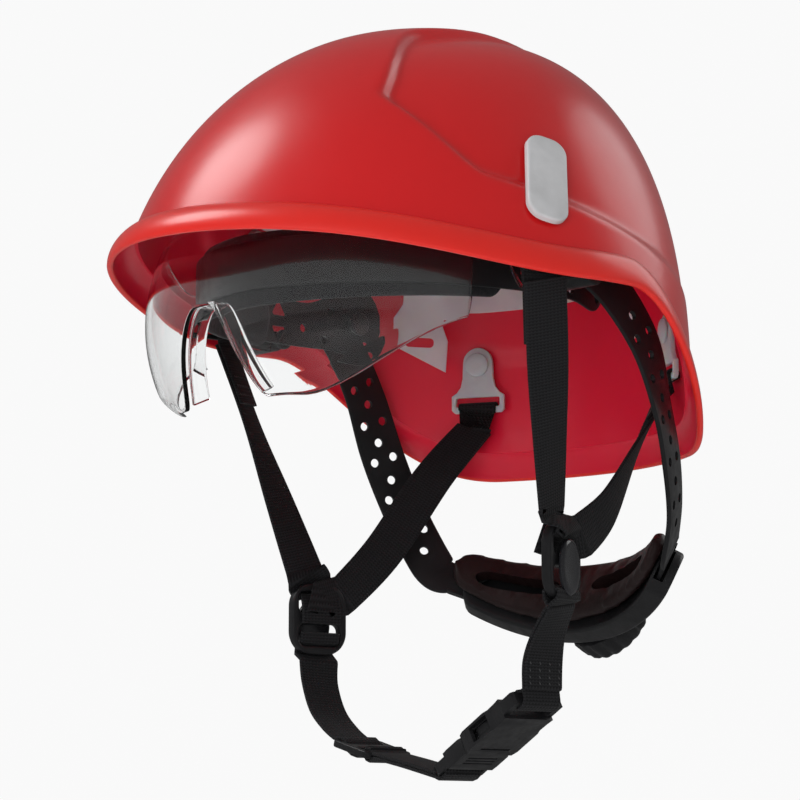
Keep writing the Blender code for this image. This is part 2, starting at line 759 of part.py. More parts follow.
def make_nape_strap(side, mat):
    """Flexible strap from the temple peg, bowing outward, then round to the rack's end."""
    path = [(84.5, 26, 28), (87, 42, 16), (90, 58, -6), (89.5, 69, -34), (84.5, 78, -62), (79.5, 83, -77)]
    widths = [(0, 0.5, 0.86), (0, 0.75, 0.66), (-0.2, 0.93, 0.3), (-0.5, 0.86, 0.1), (-0.5, 0.8, 0.3),
              (-0.3, 0.7, 0.65)]
    path = [Vector((x * side, y, z)) * MM for x, y, z in path]
    widths = [Vector((x * side, y, z)) for x, y, z in widths]
    corner = NAPE_STRAP_END * side
    path.append(nape_point(corner, RACK_RADIUS, 0))
    widths.append((nape_point(corner, RACK_RADIUS, 1) - nape_point(corner, RACK_RADIUS, 0)))
    bm = strap_solid(path, widths, WEB_WIDTH, NAPE_STRAP_THICK, 16)
    strap = finish(bm, side_name("nape_strap", side), mat)
    combine(strap, [peg_cutter(side)])
    return strap


def peg_cutter(side):
    radius = PEG_RADIUS + GAP
    start, stop = PEG_SPAN[0] - 10 * MM, PEG_SPAN[1] + 10 * MM
    return turned([(0, start), (radius, start), (radius, stop), (0, stop)], peg_frame(side), 14)


def peg_frame(side):
    return Matrix.Translation(TEMPLE) @ Matrix.Rotation(math.pi / 2 * side, 4, "Y")


def make_temple_peg(side, mat):
    """Snap rivet that holds the nape strap to the headband."""
    start, stop = PEG_SPAN
    profile = [(0, start - PEG_HEAD), (PEG_HEAD_RADIUS, start - PEG_HEAD), (PEG_HEAD_RADIUS, start),
               (PEG_RADIUS, start), (PEG_RADIUS, stop), (PEG_HEAD_RADIUS, stop),
               (PEG_HEAD_RADIUS, stop + PEG_HEAD), (0, stop + PEG_HEAD)]
    return finish(turned(profile, peg_frame(side), 16), side_name("temple_peg", side), mat)


# ---------------------------------------------------------- chin strap

def web(name, points, widths, mat, thick=WEB_THICK, steps=14, width=WEB_WIDTH):
    path = [Vector(p) * MM for p in points]
    return finish(strap_solid(path, [Vector(w) for w in widths], width, thick, steps), name, mat)


def make_front_anchor(side, mat):
    """Hook plate on the inside of the shell wall with a slot for the webbing."""
    place = Vector((side * FRONT_TOP.x, FRONT_TOP.y, FRONT_TOP.z))
    frame = basis(place, Vector((0, 1, 0)), Vector((0, 0, 1)))
    bm = prism(round_outline(12.5 * MM, 5 * MM, 2.5 * MM), frame, PLATE_THICK)
    anchor = finish(bm, side_name("front_anchor", side), mat)
    slot = prism(round_outline(10.5 * MM, 1.6 * MM, MM), frame @ Matrix.Translation((0, -1 * MM, 0)), 9 * MM)
    combine(anchor, [slot])
    return anchor


def rear_frame(side):
    """Local X along the wall, local Y up, local Z inward."""
    normal = Vector((REAR_NORMAL.x * side, REAR_NORMAL.y, REAR_NORMAL.z)).normalized()
    up = Vector((0, 0, 1))
    along = up.cross(-normal)
    return basis(Vector((REAR_ANCHOR.x * side, REAR_ANCHOR.y, REAR_ANCHOR.z)), along, up)


def make_rear_anchor(side, mat):
    frame = rear_frame(side)
    top = [(7 * math.cos(math.radians(a)), 7 + 7 * math.sin(math.radians(a))) for a in range(0, 181, 30)]
    outline = top + [(-8, -4), (-12.5, -8), (-12.5, -16), (12.5, -16), (12.5, -8), (8, -4)]
    bm = prism([(x * MM, y * MM) for x, y in outline], frame, PLATE_THICK)
    anchor = finish(bm, side_name("rear_anchor", side), mat)
    opening = round_outline(10.4 * MM, 2.2 * MM, 1 * MM)
    slot = prism(opening, frame @ Matrix.Translation((0, -11 * MM, 0)), 9 * MM)
    hole = turned([(0, -5 * MM), (3.8 * MM, -5 * MM), (3.8 * MM, 5 * MM), (0, 5 * MM)],
                  frame @ Matrix.Translation((0, 6 * MM, 0)), 14)
    combine(anchor, [slot, hole])
    return anchor


def make_rear_peg(side, mat):
    frame = rear_frame(side) @ Matrix.Translation((0, 6 * MM, 0))
    profile = [(0, -2.4 * MM), (3.4 * MM, -2.4 * MM), (3.4 * MM, 1.6 * MM), (5.5 * MM, 1.6 * MM),
               (5.5 * MM, 3 * MM), (0, 3.4 * MM)]
    return finish(turned(profile, frame, 16), side_name("rear_peg", side), mat)


def divider_frame(side):
    """Local X along the webbing's width, local Y up, local Z outward."""
    frame = basis(DIVIDER[side], Vector(DIVIDER_YAW[side]), Vector((0, 0, 1)))
    if side < 0:
        frame = frame @ Matrix.Rotation(math.pi, 4, "Y")
    return frame


def make_divider(side, mat):
    frame = divider_frame(side)
    bm = prism(round_outline(*DIVIDER_HALF, 10 * MM, 5), frame, DIVIDER_THICK)
    ring = finish(bm, side_name("divider", side), mat)
    openings = []
    for low, high in ((2.2, 11.8), (-11.8, -2.2)):
        centre = (low + high) / 2 * MM
        half = (high - low) / 2 * MM
        openings.append(prism(round_outline(10.6 * MM, half, 3 * MM),
                              frame @ Matrix.Translation((0, centre, 0)), 12 * MM))
    combine(ring, openings)
    return ring


def make_divider_cam(side, mat):
    """Oval locking flap on the outside of the divider, hinged at its top."""
    frame = divider_frame(side)
    height = DIVIDER_THICK / 2 + CAM_LIFT
    centre = frame @ Matrix.Translation((0, -2.5 * MM, height))
    turns = [math.tau * k / 20 for k in range(20)]
    outline = [(CAM_HALF[0] * math.cos(turn), CAM_HALF[1] * math.sin(turn)) for turn in turns]
    pivot = frame @ Vector((0, CAM_PIVOT_Y, height))
    return finish(prism(outline, centre, CAM_THICK), side_name("divider_cam", side), mat, pivot)


def make_side_straps(mat):
    """Front and rear straps down to each divider, then the straps under the chin."""
    for side in (-1, 1):
        low = DIVIDER[side] / MM
        slant = Vector(DIVIDER_YAW[side])
        top = Vector((FRONT_TOP.x * side, FRONT_TOP.y, FRONT_TOP.z - 7.4 * MM)) / MM
        foot = low + Vector((0.8 * side, -5.5, 18.2))
        front = [top.lerp(foot, k / 3) for k in range(4)]
        turned_in = Vector(FRONT_TURN[side])
        across = [turned_in, turned_in, (turned_in + slant) / 2, slant]
        web(side_name("front_strap", side), front, across, mat)
        rear = [(60.0 * side, 100.3, -19.5), (65 * side, 78, -45), (71.5 * side, 54, low.z * 0.5 - 24),
                (low.x - 1.6 * side, low.y + 13, low.z + 11)]
        across = [(-0.866 * side, 0.5, 0), (-0.7 * side, 0.6, -0.3), (-0.35 * side, 0.7, -0.6),
                  (0, 0.62, -0.78)]
        web(side_name("rear_strap", side), rear, across, mat, width=REAR_WEB_WIDTH)
    flat = (0, 1, 0)
    low_left = [(78.2, 20, -114.8), (71.5, 20, -125), (67.8, 20, -136), (67.3, 20, -147.0)]
    web("lower_strap_left", low_left, [DIVIDER_YAW[1], (-0.2, 0.98, 0), flat, flat], mat, DOUBLE_THICK)
    low_right = [(-76, 21, -128.6), (-74.5, 20.5, -139), (-68.5, 20, -151), (-60, 20, -159),
                 (-51.5, 20, -164.2)]
    web("lower_strap_right", low_right, [DIVIDER_YAW[-1], flat, flat, flat, flat], mat)
    run = [LADDER + LADDER_AXIS * 12.6 * MM, Vector((-8, 20, -175.5)) * MM,
           buckle_frame() @ Vector((57.3 * MM, 0, 0))]
    web("chin_strap_right", [p / MM for p in run], [flat] * 3, mat, DOUBLE_THICK)


def make_ladder_lock(mat):
    """Flat three-bar slide that sets the strap's length."""
    frame = basis(LADDER, LADDER_AXIS, Vector((0, 1, 0)))
    lock = finish(prism(round_outline(12 * MM, 13 * MM, 2 * MM), frame, 3.2 * MM), "ladder_lock", mat)
    opening = round_outline(2.6 * MM, 10.5 * MM, MM)
    offset = 5.2 * MM
    combine(lock, [prism(opening, frame @ Matrix.Translation((x, 0, 0)), 9 * MM) for x in (-offset, offset)])
    return lock


def buckle_frame():
    """Local X from the female end to the male end, local Z away from the chin."""
    return basis(BUCKLE_TOP, BUCKLE_AXIS, Vector((0, 1, 0)))


def box_mm(frame, x0, x1, half_y, half_z, corner=1.0, y=0.0):
    centre = frame @ Matrix.Translation(((x0 + x1) / 2 * MM, y * MM, 0))
    outline = round_outline((x1 - x0) / 2 * MM, half_y * MM, corner * MM, 3)
    return prism(outline, centre, 2 * half_z * MM)


def make_buckle_female(mat):
    frame = buckle_frame()
    body = finish(box_mm(frame, -2, 34, 13.5, 4.5, 3), "buckle_female", mat)
    tools = [box_mm(frame, 10, 40, 11.3, 2.7, 0.5), box_mm(frame, 1.2, 5.6, 10.4, 8, 1)]
    for side in (-1, 1):
        tools.append(box_mm(frame, 16, 27, 3, 3.3, 1, 13.5 * side))
    combine(body, tools)
    return body


def make_buckle_male(mat):
    frame = buckle_frame()
    origin = frame @ Vector((34.6 * MM, 0, 0))
    body = finish(box_mm(frame, 34.6, 55, 12.5, 3.8, 2.5), "buckle_male", mat, origin)
    tongue = box_mm(frame, 14, 36, 1.8, 1.8, 0.5)
    combine(body, [tongue], "UNION")
    combine(body, [box_mm(frame, 47.4, 51.8, 10.4, 8, 1)])
    return body


def make_prong(side, mat):
    """Sprung side arm of the buckle with its catch; side 1 is to the rear."""
    frame = buckle_frame()
    outline = [(34.0, 6.6), (34.0, 9.4), (27.0, 9.6), (25.6, 11.0),
               (20.5, 11.0), (15.6, 8.0), (15.2, 6.6), (20, 6.4)]
    outline = [(x * MM, y * side * MM) for x, y in outline]
    pivot = frame @ Vector((34.0 * MM, 8.0 * side * MM, 0))
    name = "prong_rear" if side > 0 else "prong_front"
    return finish(prism(outline, frame, 4.4 * MM), name, mat, pivot)


# ------------------------------------------------------------- assembly

def main():
    clear_scene()
    red = material("shell_red", (0.55, 0.02, 0.02), 0.2)
    grey = material("cover_grey", (0.55, 0.55, 0.55), 0.45)
    milk = material("milky_plastic", (0.8, 0.8, 0.82), 0.35, alpha=0.6)
    black = material("black_plastic", (0.02, 0.02, 0.022), 0.4)
    textile = material("sweatband_textile", (0.05, 0.05, 0.055), 0.9)
    foam = material("nape_pad_foam", (0.04, 0.02, 0.02), 0.7)
    clear = material("clear_polycarbonate", (0.9, 0.93, 0.95), 0.03, alpha=0.2)
    webbing = material("black_webbing", (0.015, 0.015, 0.016), 0.85)
    make_shell(red)
    make_cradle(milk)
    make_headband(black)
    make_sweatband(textile)
    make_visor(clear)
    make_nose_bridge(clear)
    make_nape_housing(black)
    make_nape_pad(foam)
    make_knob(black)
    make_pinion(black)
    for side in (-1, 1):
        make_slot_cover(side, grey)
        make_visor_pivot(side, black)
        make_rack(side, black)
        make_nape_strap(side, black)
        make_temple_peg(side, black)
        make_front_anchor(side, black)
        make_rear_anchor(side, milk)
        make_rear_peg(side, milk)
        make_divider(side, black)
        make_divider_cam(side, black)
        make_prong(side, black)
    make_side_straps(webbing)
    make_ladder_lock(black)
    make_buckle_female(black)
    make_buckle_male(black)


main()
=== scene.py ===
"""Finished look of the climbing helmet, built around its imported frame.

+Z up, the brow faces -Y, the wearer's left is +X, metres.  The surface and
route functions repeat the frame's own, sampled more finely.
"""

import math

import bmesh
import bpy
from mathutils import Matrix, Vector, noise


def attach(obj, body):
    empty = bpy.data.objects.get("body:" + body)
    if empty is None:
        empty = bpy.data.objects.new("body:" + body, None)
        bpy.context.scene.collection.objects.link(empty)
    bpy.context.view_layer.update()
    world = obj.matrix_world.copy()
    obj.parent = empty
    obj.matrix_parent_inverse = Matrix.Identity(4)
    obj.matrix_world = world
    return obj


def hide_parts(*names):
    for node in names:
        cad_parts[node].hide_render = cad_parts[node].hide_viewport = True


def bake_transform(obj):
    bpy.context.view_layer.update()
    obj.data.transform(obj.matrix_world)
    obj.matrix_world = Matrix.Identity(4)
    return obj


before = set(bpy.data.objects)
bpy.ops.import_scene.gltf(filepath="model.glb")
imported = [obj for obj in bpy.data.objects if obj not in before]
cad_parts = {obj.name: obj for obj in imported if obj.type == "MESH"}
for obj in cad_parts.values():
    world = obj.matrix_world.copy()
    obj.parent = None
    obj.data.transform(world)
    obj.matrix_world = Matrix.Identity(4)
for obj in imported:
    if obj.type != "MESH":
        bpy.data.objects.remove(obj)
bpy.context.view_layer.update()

MM = 0.001
GAP = 0.3 * MM

# Shell
SHELL_HALF_WIDTH = 116 * MM
SHELL_FRONT = 131 * MM
SHELL_REAR = 127 * MM
SHELL_PLAN_POWER = 1.9
SHELL_EGG = 0.11
SHELL_CROWN = 136 * MM
SHELL_EQUATOR = -25 * MM
SHELL_PROFILE_POWER = 2.2
SHELL_SKIRT_FLARE = 0.5
CROWN_SHIFT = 25 * MM
SHELL_WALL = 2.8 * MM
CREASE_FRONT = 40 * MM
CREASE_SIDE = 23 * MM
CREASE_REAR = -32 * MM
SKIRT_START = 25 * MM
SKIRT_END = 112 * MM
BRIM_DROP = 11.6 * MM
BRIM_FRONT = 10.5 * MM
BRIM_SIDE = 4.7 * MM
RECESS_DEPTH = 4.5 * MM
RECESS_SOFT = 9 * MM
RECESS_CRISP = 7.5 * MM
SHELL_COLUMNS = 320
DOME_ROWS = 96
BRIM_ROWS = 14
LIP_ROWS = 5

# Accessory slots
SLOT_CENTRE = Vector((0, -8 * MM, 51 * MM))
SLOT_SIZE = (11 * MM, 30 * MM)
COVER_SIZE = (18 * MM, 43 * MM)
COVER_THICK = 3.4 * MM
COVER_LIFT = 3.4 * MM
COVER_CORNER = 7 * MM
COVER_EDGE = 1.6 * MM
COVER_DOME = 0.7 * MM
SLOT_LEAN = 0.33
SHANK_REACH = 5 * MM
POCKET_CLEAR = 14 * MM

# Cradle
CRADLE_OFFSET = 22 * MM
CRADLE_THICK = 1.6 * MM
CRADLE_DEPTH = 0.97
CRADLE_ARMS = (30, 82.5, 135)
CRADLE_BELT = (0.705, 0.775)
CRADLE_NARROW = 15.6 * MM

# Headband
BAND_HALF_WIDTH = 80 * MM
BAND_HALF_LENGTH = 92 * MM
BAND_CENTRE_Y = 8 * MM
BAND_THICK = 1.8 * MM
BAND_REACH = math.radians(118)
BAND_LOW = 10 * MM
BAND_HIGH = 30 * MM
BAND_TEMPLE_RISE = 10 * MM
SWEAT_THICK = 3.5 * MM
SWEAT_REACH = math.radians(80)
SWEAT_LOW = 4 * MM
SWEAT_HIGH = 34 * MM
TEMPLE = Vector((0, 40 * MM, 22 * MM))
PEG_RADIUS = 3.0 * MM
PEG_HEAD_RADIUS = 5.0 * MM
PEG_HEAD = 1.8 * MM
PEG_SPAN = (72.4 * MM, 88.4 * MM)

# Visor
LENS_HALF_WIDTH = 92.5 * MM
LENS_REACH = 97 * MM
LENS_CENTRE_Y = -5 * MM
LENS_POWER = 2.4
LENS_THICK = 2.0 * MM
LENS_BULGE_RADIUS = 75 * MM
LENS_BULGE_HEIGHT = 5 * MM
LENS_CURL = 4.2 * MM
LENS_FOLD = 8 * MM
LENS_ROWS = 18
FOLD_ROWS = 14
WING_END = math.radians(75)
ARM_END = math.radians(93.6)
PIVOT = Vector((0, 10 * MM, 14 * MM))
PIVOT_PIN_RADIUS = 3.0 * MM
PIVOT_SHOULDER_RADIUS = 4.4 * MM
PIVOT_WALL = 110.5 * MM

# Nape unit
NAPE_CENTRE = Vector((0, 114 * MM, -103.5 * MM))
NAPE_TILT = math.radians(33)
RACK_RADIUS = 102 * MM
RACK_THICK = 3.0 * MM
KNOB_RADIUS = 19 * MM
KNOB_DEPTH = 12 * MM
SHAFT_RADIUS = 4 * MM
HOUSING_SPAN = math.radians(38)
HOUSING_FRONT = 98.6 * MM
HOUSING_REAR = 108 * MM
HOUSING_END_HALF_HEIGHT = 10.5 * MM
HOUSING_TOP = 12 * MM
HOUSING_DROP = 18 * MM
CHANNEL_HALF_HEIGHT = 8.0 * MM
PAD_SPAN = math.radians(43)
PAD_FRONT = 90.5 * MM
PAD_REAR = 98.2 * MM
PAD_HALF_HEIGHT = 16 * MM
PAD_END_HALF_HEIGHT = 9.5 * MM
SLOT_ANGLE = 20.5
NAPE_STRAP_THICK = 2.0 * MM
NAPE_STRAP_END = math.radians(51)
FIRST_HOLE = 34
HOLE_SPACING = 9.0

# Webbing and fittings
WEB_WIDTH = 20 * MM
REAR_WEB_WIDTH = 18 * MM
WEB_THICK = 1.4 * MM
LAYER_GAP = 0.8 * MM
STITCH_PITCH = 2.4 * MM
STITCH_SPACING = 2.6 * MM
STITCH_LIFT = WEB_THICK / 2 + 0.05 * MM
STITCH_REACH = 0.36 * STITCH_PITCH
STITCH_HALF = 0.28 * MM
STITCH_BULGE = 0.3 * MM
STITCH_SLANT = 0.7
PLATE_THICK = 2.4 * MM
CHIN_Y = 20 * MM
FRONT_TOP = Vector((104.2 * MM, -11 * MM, 17.6 * MM))
REAR_ANCHOR = Vector((60.5 * MM, 101.5 * MM, 2 * MM))
REAR_NORMAL = Vector((0.5, 0.866, 0.02))
DIVIDER = {1: Vector((79, 20, -97)) * MM, -1: Vector((-77, 21, -111)) * MM}
FRONT_TURN = {1: (0.1, 0.99, 0.0), -1: (-0.5, 0.86, 0.0)}
DIVIDER_HALF = (14 * MM, 15.5 * MM)
DIVIDER_THICK = 4.5 * MM
DIVIDER_YAW = {1: (-0.35, 0.94, 0.0), -1: (0.1, 0.99, 0.0)}
CAM_HALF = (8.5 * MM, 11.5 * MM)
CAM_THICK = 2.6 * MM
CAM_LIFT = 1.7 * MM
LADDER = Vector((-38.5 * MM, CHIN_Y, -168.5 * MM))
LADDER_AXIS = Vector((0.965, 0, -0.262)).normalized()
BUCKLE_TOP = Vector((63 * MM, CHIN_Y, -152 * MM))
BUCKLE_AXIS = Vector((-0.869, 0, -0.495)).normalized()
UP = Vector((0, 0, 1))
FLAT = Vector((0, 1, 0))

# Studio
CAMERA_AZIMUTH = math.radians(49.6)
CAMERA_ELEVATION = math.radians(-9.65)
CAMERA_DISTANCE = 1.27
CAMERA_REACH = 3.776663
CAMERA_SHIFT = (0.0064, -0.0728)
FLOOR_HEIGHT = -0.42
FLOOR_GLOW = 0.3
FLOOR_SIZE = 14
BACKDROP_RADIUS = 6
BACKDROP_GLOW = 0.94
WORLD_GLOW = 0.2


# --------------------------------------------------------------- materials

class Finish:
    """A Principled material with a few node helpers."""

    def __init__(self, name, colour, roughness, **sockets):
        self.mat = bpy.data.materials.new(name)
        self.mat.use_nodes = True
        self.tree = self.mat.node_tree
        self.shader = self.tree.nodes["Principled BSDF"]
        self.shader.inputs["Base Color"].default_value = (*colour, 1)
        self.shader.inputs["Roughness"].default_value = roughness
        for key, value in sockets.items():
            self.shader.inputs[key.replace("_", " ")].default_value = value
        self.place = self.add("ShaderNodeTexCoord").outputs["Object"]

    def add(self, kind, **links):
        node = self.tree.nodes.new(kind)
        for key, value in links.items():
            socket = node.inputs[int(key[1:])] if key[0] == "i" and key[1:].isdigit() else node.inputs[key]
            if isinstance(value, bpy.types.NodeSocket):
                self.tree.links.new(value, socket)
            else:
                socket.default_value = value
        return node

    def maths(self, operation, first, second=0.0):
        node = self.add("ShaderNodeMath", i0=first, i1=second)
        node.operation = operation
        return node.outputs[0]

    def noise(self, scale, detail=3.0, vector=None):
        node = self.add("ShaderNodeTexNoise", Vector=vector or self.place, Scale=scale, Detail=detail)
        return node.outputs["Fac"]

    def ramp(self, value, low, high, start=0.3, stop=0.7):
        """Map value between start and stop onto two colours or two numbers."""
        node = self.add("ShaderNodeValToRGB", Fac=value)
        for stop_at, place, end in ((0, start, low), (1, stop, high)):
            colour = end if isinstance(end, tuple) else (end, end, end)
            node.color_ramp.elements[stop_at].position = place
            node.color_ramp.elements[stop_at].color = (*colour, 1)
        return node.outputs["Color"]

    def feed(self, socket, value):
        self.tree.links.new(value, self.shader.inputs[socket])

    def bump(self, height, distance, strength=1.0):
        last = self.shader.inputs["Normal"]
        node = self.add("ShaderNodeBump", Height=height, Distance=distance, Strength=strength)
        if last.links:
            self.tree.links.new(last.links[0].from_socket, node.inputs["Normal"])
        self.tree.links.new(node.outputs["Normal"], last)


def moulded(name, colour, roughness, grain=900, depth=0.00006, **sockets):
    """Injection-moulded plastic: faint mottling, uneven gloss and a fine spark grain."""
    finish = Finish(name, colour, roughness, **sockets)
    mottle = finish.noise(60, 4)
    dark = tuple(0.86 * c for c in colour)
    light = tuple(min(1.12 * c + 0.002, 1) for c in colour)
    finish.feed("Base Color", finish.ramp(mottle, dark, light))
    scuffs = finish.noise(220, 6)
    finish.feed("Roughness", finish.ramp(scuffs, roughness * 0.8, min(roughness * 1.35, 1)))
    finish.bump(finish.noise(grain, 2), depth)
    return finish.mat


def shell_plastic(name, colour, glow):
    """Glossy ABS with a little light scattered inside it and slight orange peel."""
    finish = Finish(name, colour, 0.3, Subsurface_Weight=glow, Subsurface_Scale=0.004,
                    Coat_Weight=0.2, Coat_Roughness=0.2)
    finish.shader.inputs["Subsurface Radius"].default_value = (1.0, 0.25, 0.15)
    cloud = finish.noise(9, 2)
    finish.feed("Base Color", finish.ramp(cloud, tuple(0.93 * c for c in colour), colour))
    finish.feed("Roughness", finish.ramp(finish.noise(50, 2), 0.29, 0.34))
    finish.bump(finish.noise(120, 2), 0.00005)
    return finish.mat


def woven(name, colour, pitch_across, pitch_along, depth):
    """Webbing: ribs across and yarns along, from the strap's own measured UVs."""
    finish = Finish(name, colour, 0.8, Sheen_Weight=0.04, Sheen_Roughness=0.4, Specular_IOR_Level=0.25)
    chart = finish.add("ShaderNodeUVMap")
    chart.uv_map = "UVMap"
    split = finish.add("ShaderNodeSeparateXYZ", Vector=chart.outputs["UV"])
    across = finish.maths("MULTIPLY", split.outputs["X"], math.tau / pitch_across)
    along = finish.maths("MULTIPLY", split.outputs["Y"], math.tau / pitch_along)
    yarn = finish.maths("SINE", across)
    rib = finish.maths("SINE", finish.maths("ADD", along, finish.maths("MULTIPLY", yarn, 0.9)))
    weave = finish.maths("ADD", finish.maths("MULTIPLY", yarn, 0.45), rib)
    lift = finish.maths("MULTIPLY_ADD", weave, 0.3)
    lift.node.inputs[2].default_value = 0.5
    # Colour follows the weave's height as well as random fibre noise: painted shade in the hollows between
    # yarns and a painted highlight on the raised ribs, over a real random fibre tone.
    dark = tuple(0.45 * c for c in colour)
    light = tuple(1.7 * c for c in colour)
    fibre_tone_and_weave_shade = finish.maths("ADD", finish.maths("MULTIPLY", finish.noise(1500, 2), 0.4), lift)
    finish.feed("Base Color", finish.ramp(fibre_tone_and_weave_shade, dark, light, 0.3, 1.0))
    finish.bump(lift, depth)
    finish.bump(finish.noise(2600, 2), 0.00006)
    return finish.mat


def knitted(name, colour, pitch, depth):
    """Soft brushed textile with a fine knit."""
    finish = Finish(name, colour, 0.95, Sheen_Weight=0.12, Sheen_Roughness=0.5)
    cells = finish.add("ShaderNodeTexVoronoi", Vector=finish.place, Scale=1 / pitch)
    fibres = finish.noise(900, 5)
    dark = tuple(0.6 * c for c in colour)
    light = tuple(1.5 * c for c in colour)
    finish.feed("Base Color", finish.ramp(fibres, dark, light))
    finish.bump(cells.outputs["Distance"], depth)
    finish.bump(fibres, 0.0001)
    return finish.mat


def milky(name):
    """Cloudy polyethylene that lets light through."""
    finish = Finish(name, (0.78, 0.77, 0.79), 0.34, Transmission_Weight=0.45, IOR=1.3,
                    Subsurface_Weight=0.4, Subsurface_Scale=0.01)
    finish.feed("Base Color", finish.ramp(finish.noise(45, 3), (0.68, 0.66, 0.69), (0.86, 0.85, 0.87)))
    finish.feed("Roughness", finish.ramp(finish.noise(200, 4), 0.28, 0.46))
    finish.bump(finish.noise(700, 2), 0.00005)
    return finish.mat


def clear(name, tint):
    """Polished polycarbonate with faint wipe marks in its gloss."""
    finish = Finish(name, tint, 0.02, Transmission_Weight=1.0, IOR=1.36,
                    Specular_IOR_Level=0.15)
    finish.feed("Roughness", finish.ramp(finish.noise(40, 6), 0.0, 0.035))
    return finish.mat


SHELL_RED = shell_plastic("shell_red_outer", (0.62, 0.010, 0.012), 0.1)
# Painted light: the brim is a lighter, more orange copy of the shell red, standing in for light glowing
# through the thin flared lip.
BRIM_RED_PAINTED_GLOW = shell_plastic("shell_red_brim_painted_glow", (0.74, 0.022, 0.015), 0.25)
INSIDE_RED = shell_plastic("shell_red_inside", (0.72, 0.008, 0.036), 0.25)
COVER_GREY = moulded("cover_grey", (0.56, 0.56, 0.57), 0.42)
BLACK = moulded("black_plastic", (0.010, 0.010, 0.011), 0.36, Specular_IOR_Level=0.35)
GLOSS_BLACK = moulded("gloss_black_plastic", (0.012, 0.012, 0.014), 0.16, depth=0.000008)
PAD_SKIN = moulded("nape_pad_skin", (0.014, 0.006, 0.006), 0.4, grain=620, depth=0.00012,
                   Specular_IOR_Level=0.35)
TEXTILE = knitted("sweatband_knit", (0.012, 0.012, 0.014), 0.0009, 0.0002)
WEBBING = woven("black_webbing", (0.010, 0.010, 0.011), 1.7 * MM, 1.25 * MM, 0.00018)
THREAD = moulded("stitch_thread", (0.05, 0.05, 0.052), 0.6)
MILKY = milky("milky_polyethylene")
CLEAR = clear("clear_polycarbonate", (0.97, 0.98, 0.98))


# --------------------------------------------------------------- geometry

def smoothstep(low, high, value):
    t = min(max((value - low) / (high - low), 0.0), 1.0)
    return t * t * (3 - 2 * t)


def signed_power(base, power):
    return math.copysign(abs(base) ** power, base)


def rounded(points):
    """Open Catmull-Rom curve through control values."""
    def curve(u):
        span = len(points) - 1
        f = min(u * span, span - 1e-9)
        i = int(f)
        t = f - i
        a, b, c, d = [points[min(max(i + k, 0), span)] for k in (-1, 0, 1, 2)]
        return 0.5 * ((2 * b) + (c - a) * t + (2 * a - 5 * b + 4 * c - d) * t * t
                      + (3 * b - a - 3 * c + d) * t ** 3)
    return curve


def square(side, tangent):
    """The part of side at right angles to tangent, at length 1."""
    return (side - tangent * side.dot(tangent)).normalized()


def heading(along, u):
    """Direction of a curve at share u of its length."""
    return (along(min(u + 0.01, 1)) - along(max(u - 0.01, 0))).normalized()


def frame_at(samples, s):
    """Point, width direction and face normal of a strap at sample s."""
    here, side = samples[s][0], samples[s][1]
    before, after = samples[max(s - 1, 0)][0], samples[min(s + 1, len(samples) - 1)][0]
    tangent = (after - before).normalized()
    side = square(side, tangent)
    return here, side, tangent.cross(side)


def basis(origin, x_axis, y_axis):
    x = x_axis.normalized()
    z = x.cross(y_axis).normalized()
    y = z.cross(x)
    return Matrix.Translation(origin) @ Matrix((x, y, z)).transposed().to_4x4()


def side_name(stem, side):
    return stem + ("_left" if side > 0 else "_right")


def at(x, y, z=0.0):
    """Translation given in millimetres."""
    return Matrix.Translation(Vector((x, y, z)) * MM)


def in_mm(points):
    """Points given in millimetres, in metres."""
    return [tuple(value * MM for value in point) for point in points]


def mirrored(outline):
    """A half outline in mm, closed by its mirror image across X."""
    half = in_mm(outline)
    return half[::-1] + [(x, -y) for x, y in half]


def shifted(outline, x=0.0, y=0.0):
    return [(px + x, py + y) for px, py in outline]


def placed(place, side, points):
    """Ribbon samples at points given in millimetres in a local frame."""
    return [(place @ (Vector(point) * MM), side) for point in points]


def round_outline(half_x, half_y, corner, steps=8):
    points = []
    for cx, cy, start in ((1, 1, 0), (-1, 1, 90), (-1, -1, 180), (1, -1, 270)):
        for s in range(steps + 1):
            a = math.radians(start + 90 * s / steps)
            points.append((cx * (half_x - corner) + corner * math.cos(a),
                           cy * (half_y - corner) + corner * math.sin(a)))
    return points


def circle(radius, count):
    return [(radius * math.cos(math.tau * k / count), radius * math.sin(math.tau * k / count))
            for k in range(count)]


def prism(outline, place, thick):
    bm = bmesh.new()
    low = [bm.verts.new(place @ Vector((x, y, -thick / 2))) for x, y in outline]
    high = [bm.verts.new(place @ Vector((x, y, thick / 2))) for x, y in outline]
    bm.faces.new(low[::-1])
    bm.faces.new(high)
    for i in range(len(outline)):
        k = (i + 1) % len(outline)
        bm.faces.new([low[i], low[k], high[k], high[i]])
    return bm


def turned(profile, place, segments=48, wave=None):
    """Solid of revolution about local Z; wave(angle, row) scales the radius."""
    bm = bmesh.new()
    rings = []
    for row, (radius, z) in enumerate(profile):
        if radius == 0:
            rings.append([bm.verts.new(place @ Vector((0, 0, z)))] * segments)
            continue
        ring = []
        for i in range(segments):
            a = math.tau * i / segments
            r = radius * (wave(a, row) if wave else 1)
            ring.append(bm.verts.new(place @ Vector((r * math.cos(a), r * math.sin(a), z))))
        rings.append(ring)
    for top, low in zip(rings, rings[1:]):
        for i in range(segments):
            k = (i + 1) % segments
            ring = [top[i], top[k], low[k], low[i]]
            bm.faces.new([v for n, v in enumerate(ring) if v not in ring[:n]])
    return bm


def rod(radius, start, stop, place, segments=40):
    return turned([(0, start), (radius, start), (radius, stop), (0, stop)], place, segments)


def loops(rings, wrap=False):
    """Skin closed rings of points in order, capping the ends or joining them."""
    bm = bmesh.new()
    made = [[bm.verts.new(p) for p in ring] for ring in rings]
    pairs = list(zip(made, made[1:]))
    if wrap:
        pairs.append((made[-1], made[0]))
    for a, b in pairs:
        for i in range(len(a)):
            k = (i + 1) % len(a)
            bm.faces.new([a[i], a[k], b[k], b[i]])
    if not wrap:
        bm.faces.new(made[0][::-1])
        bm.faces.new(made[-1])
    return bm


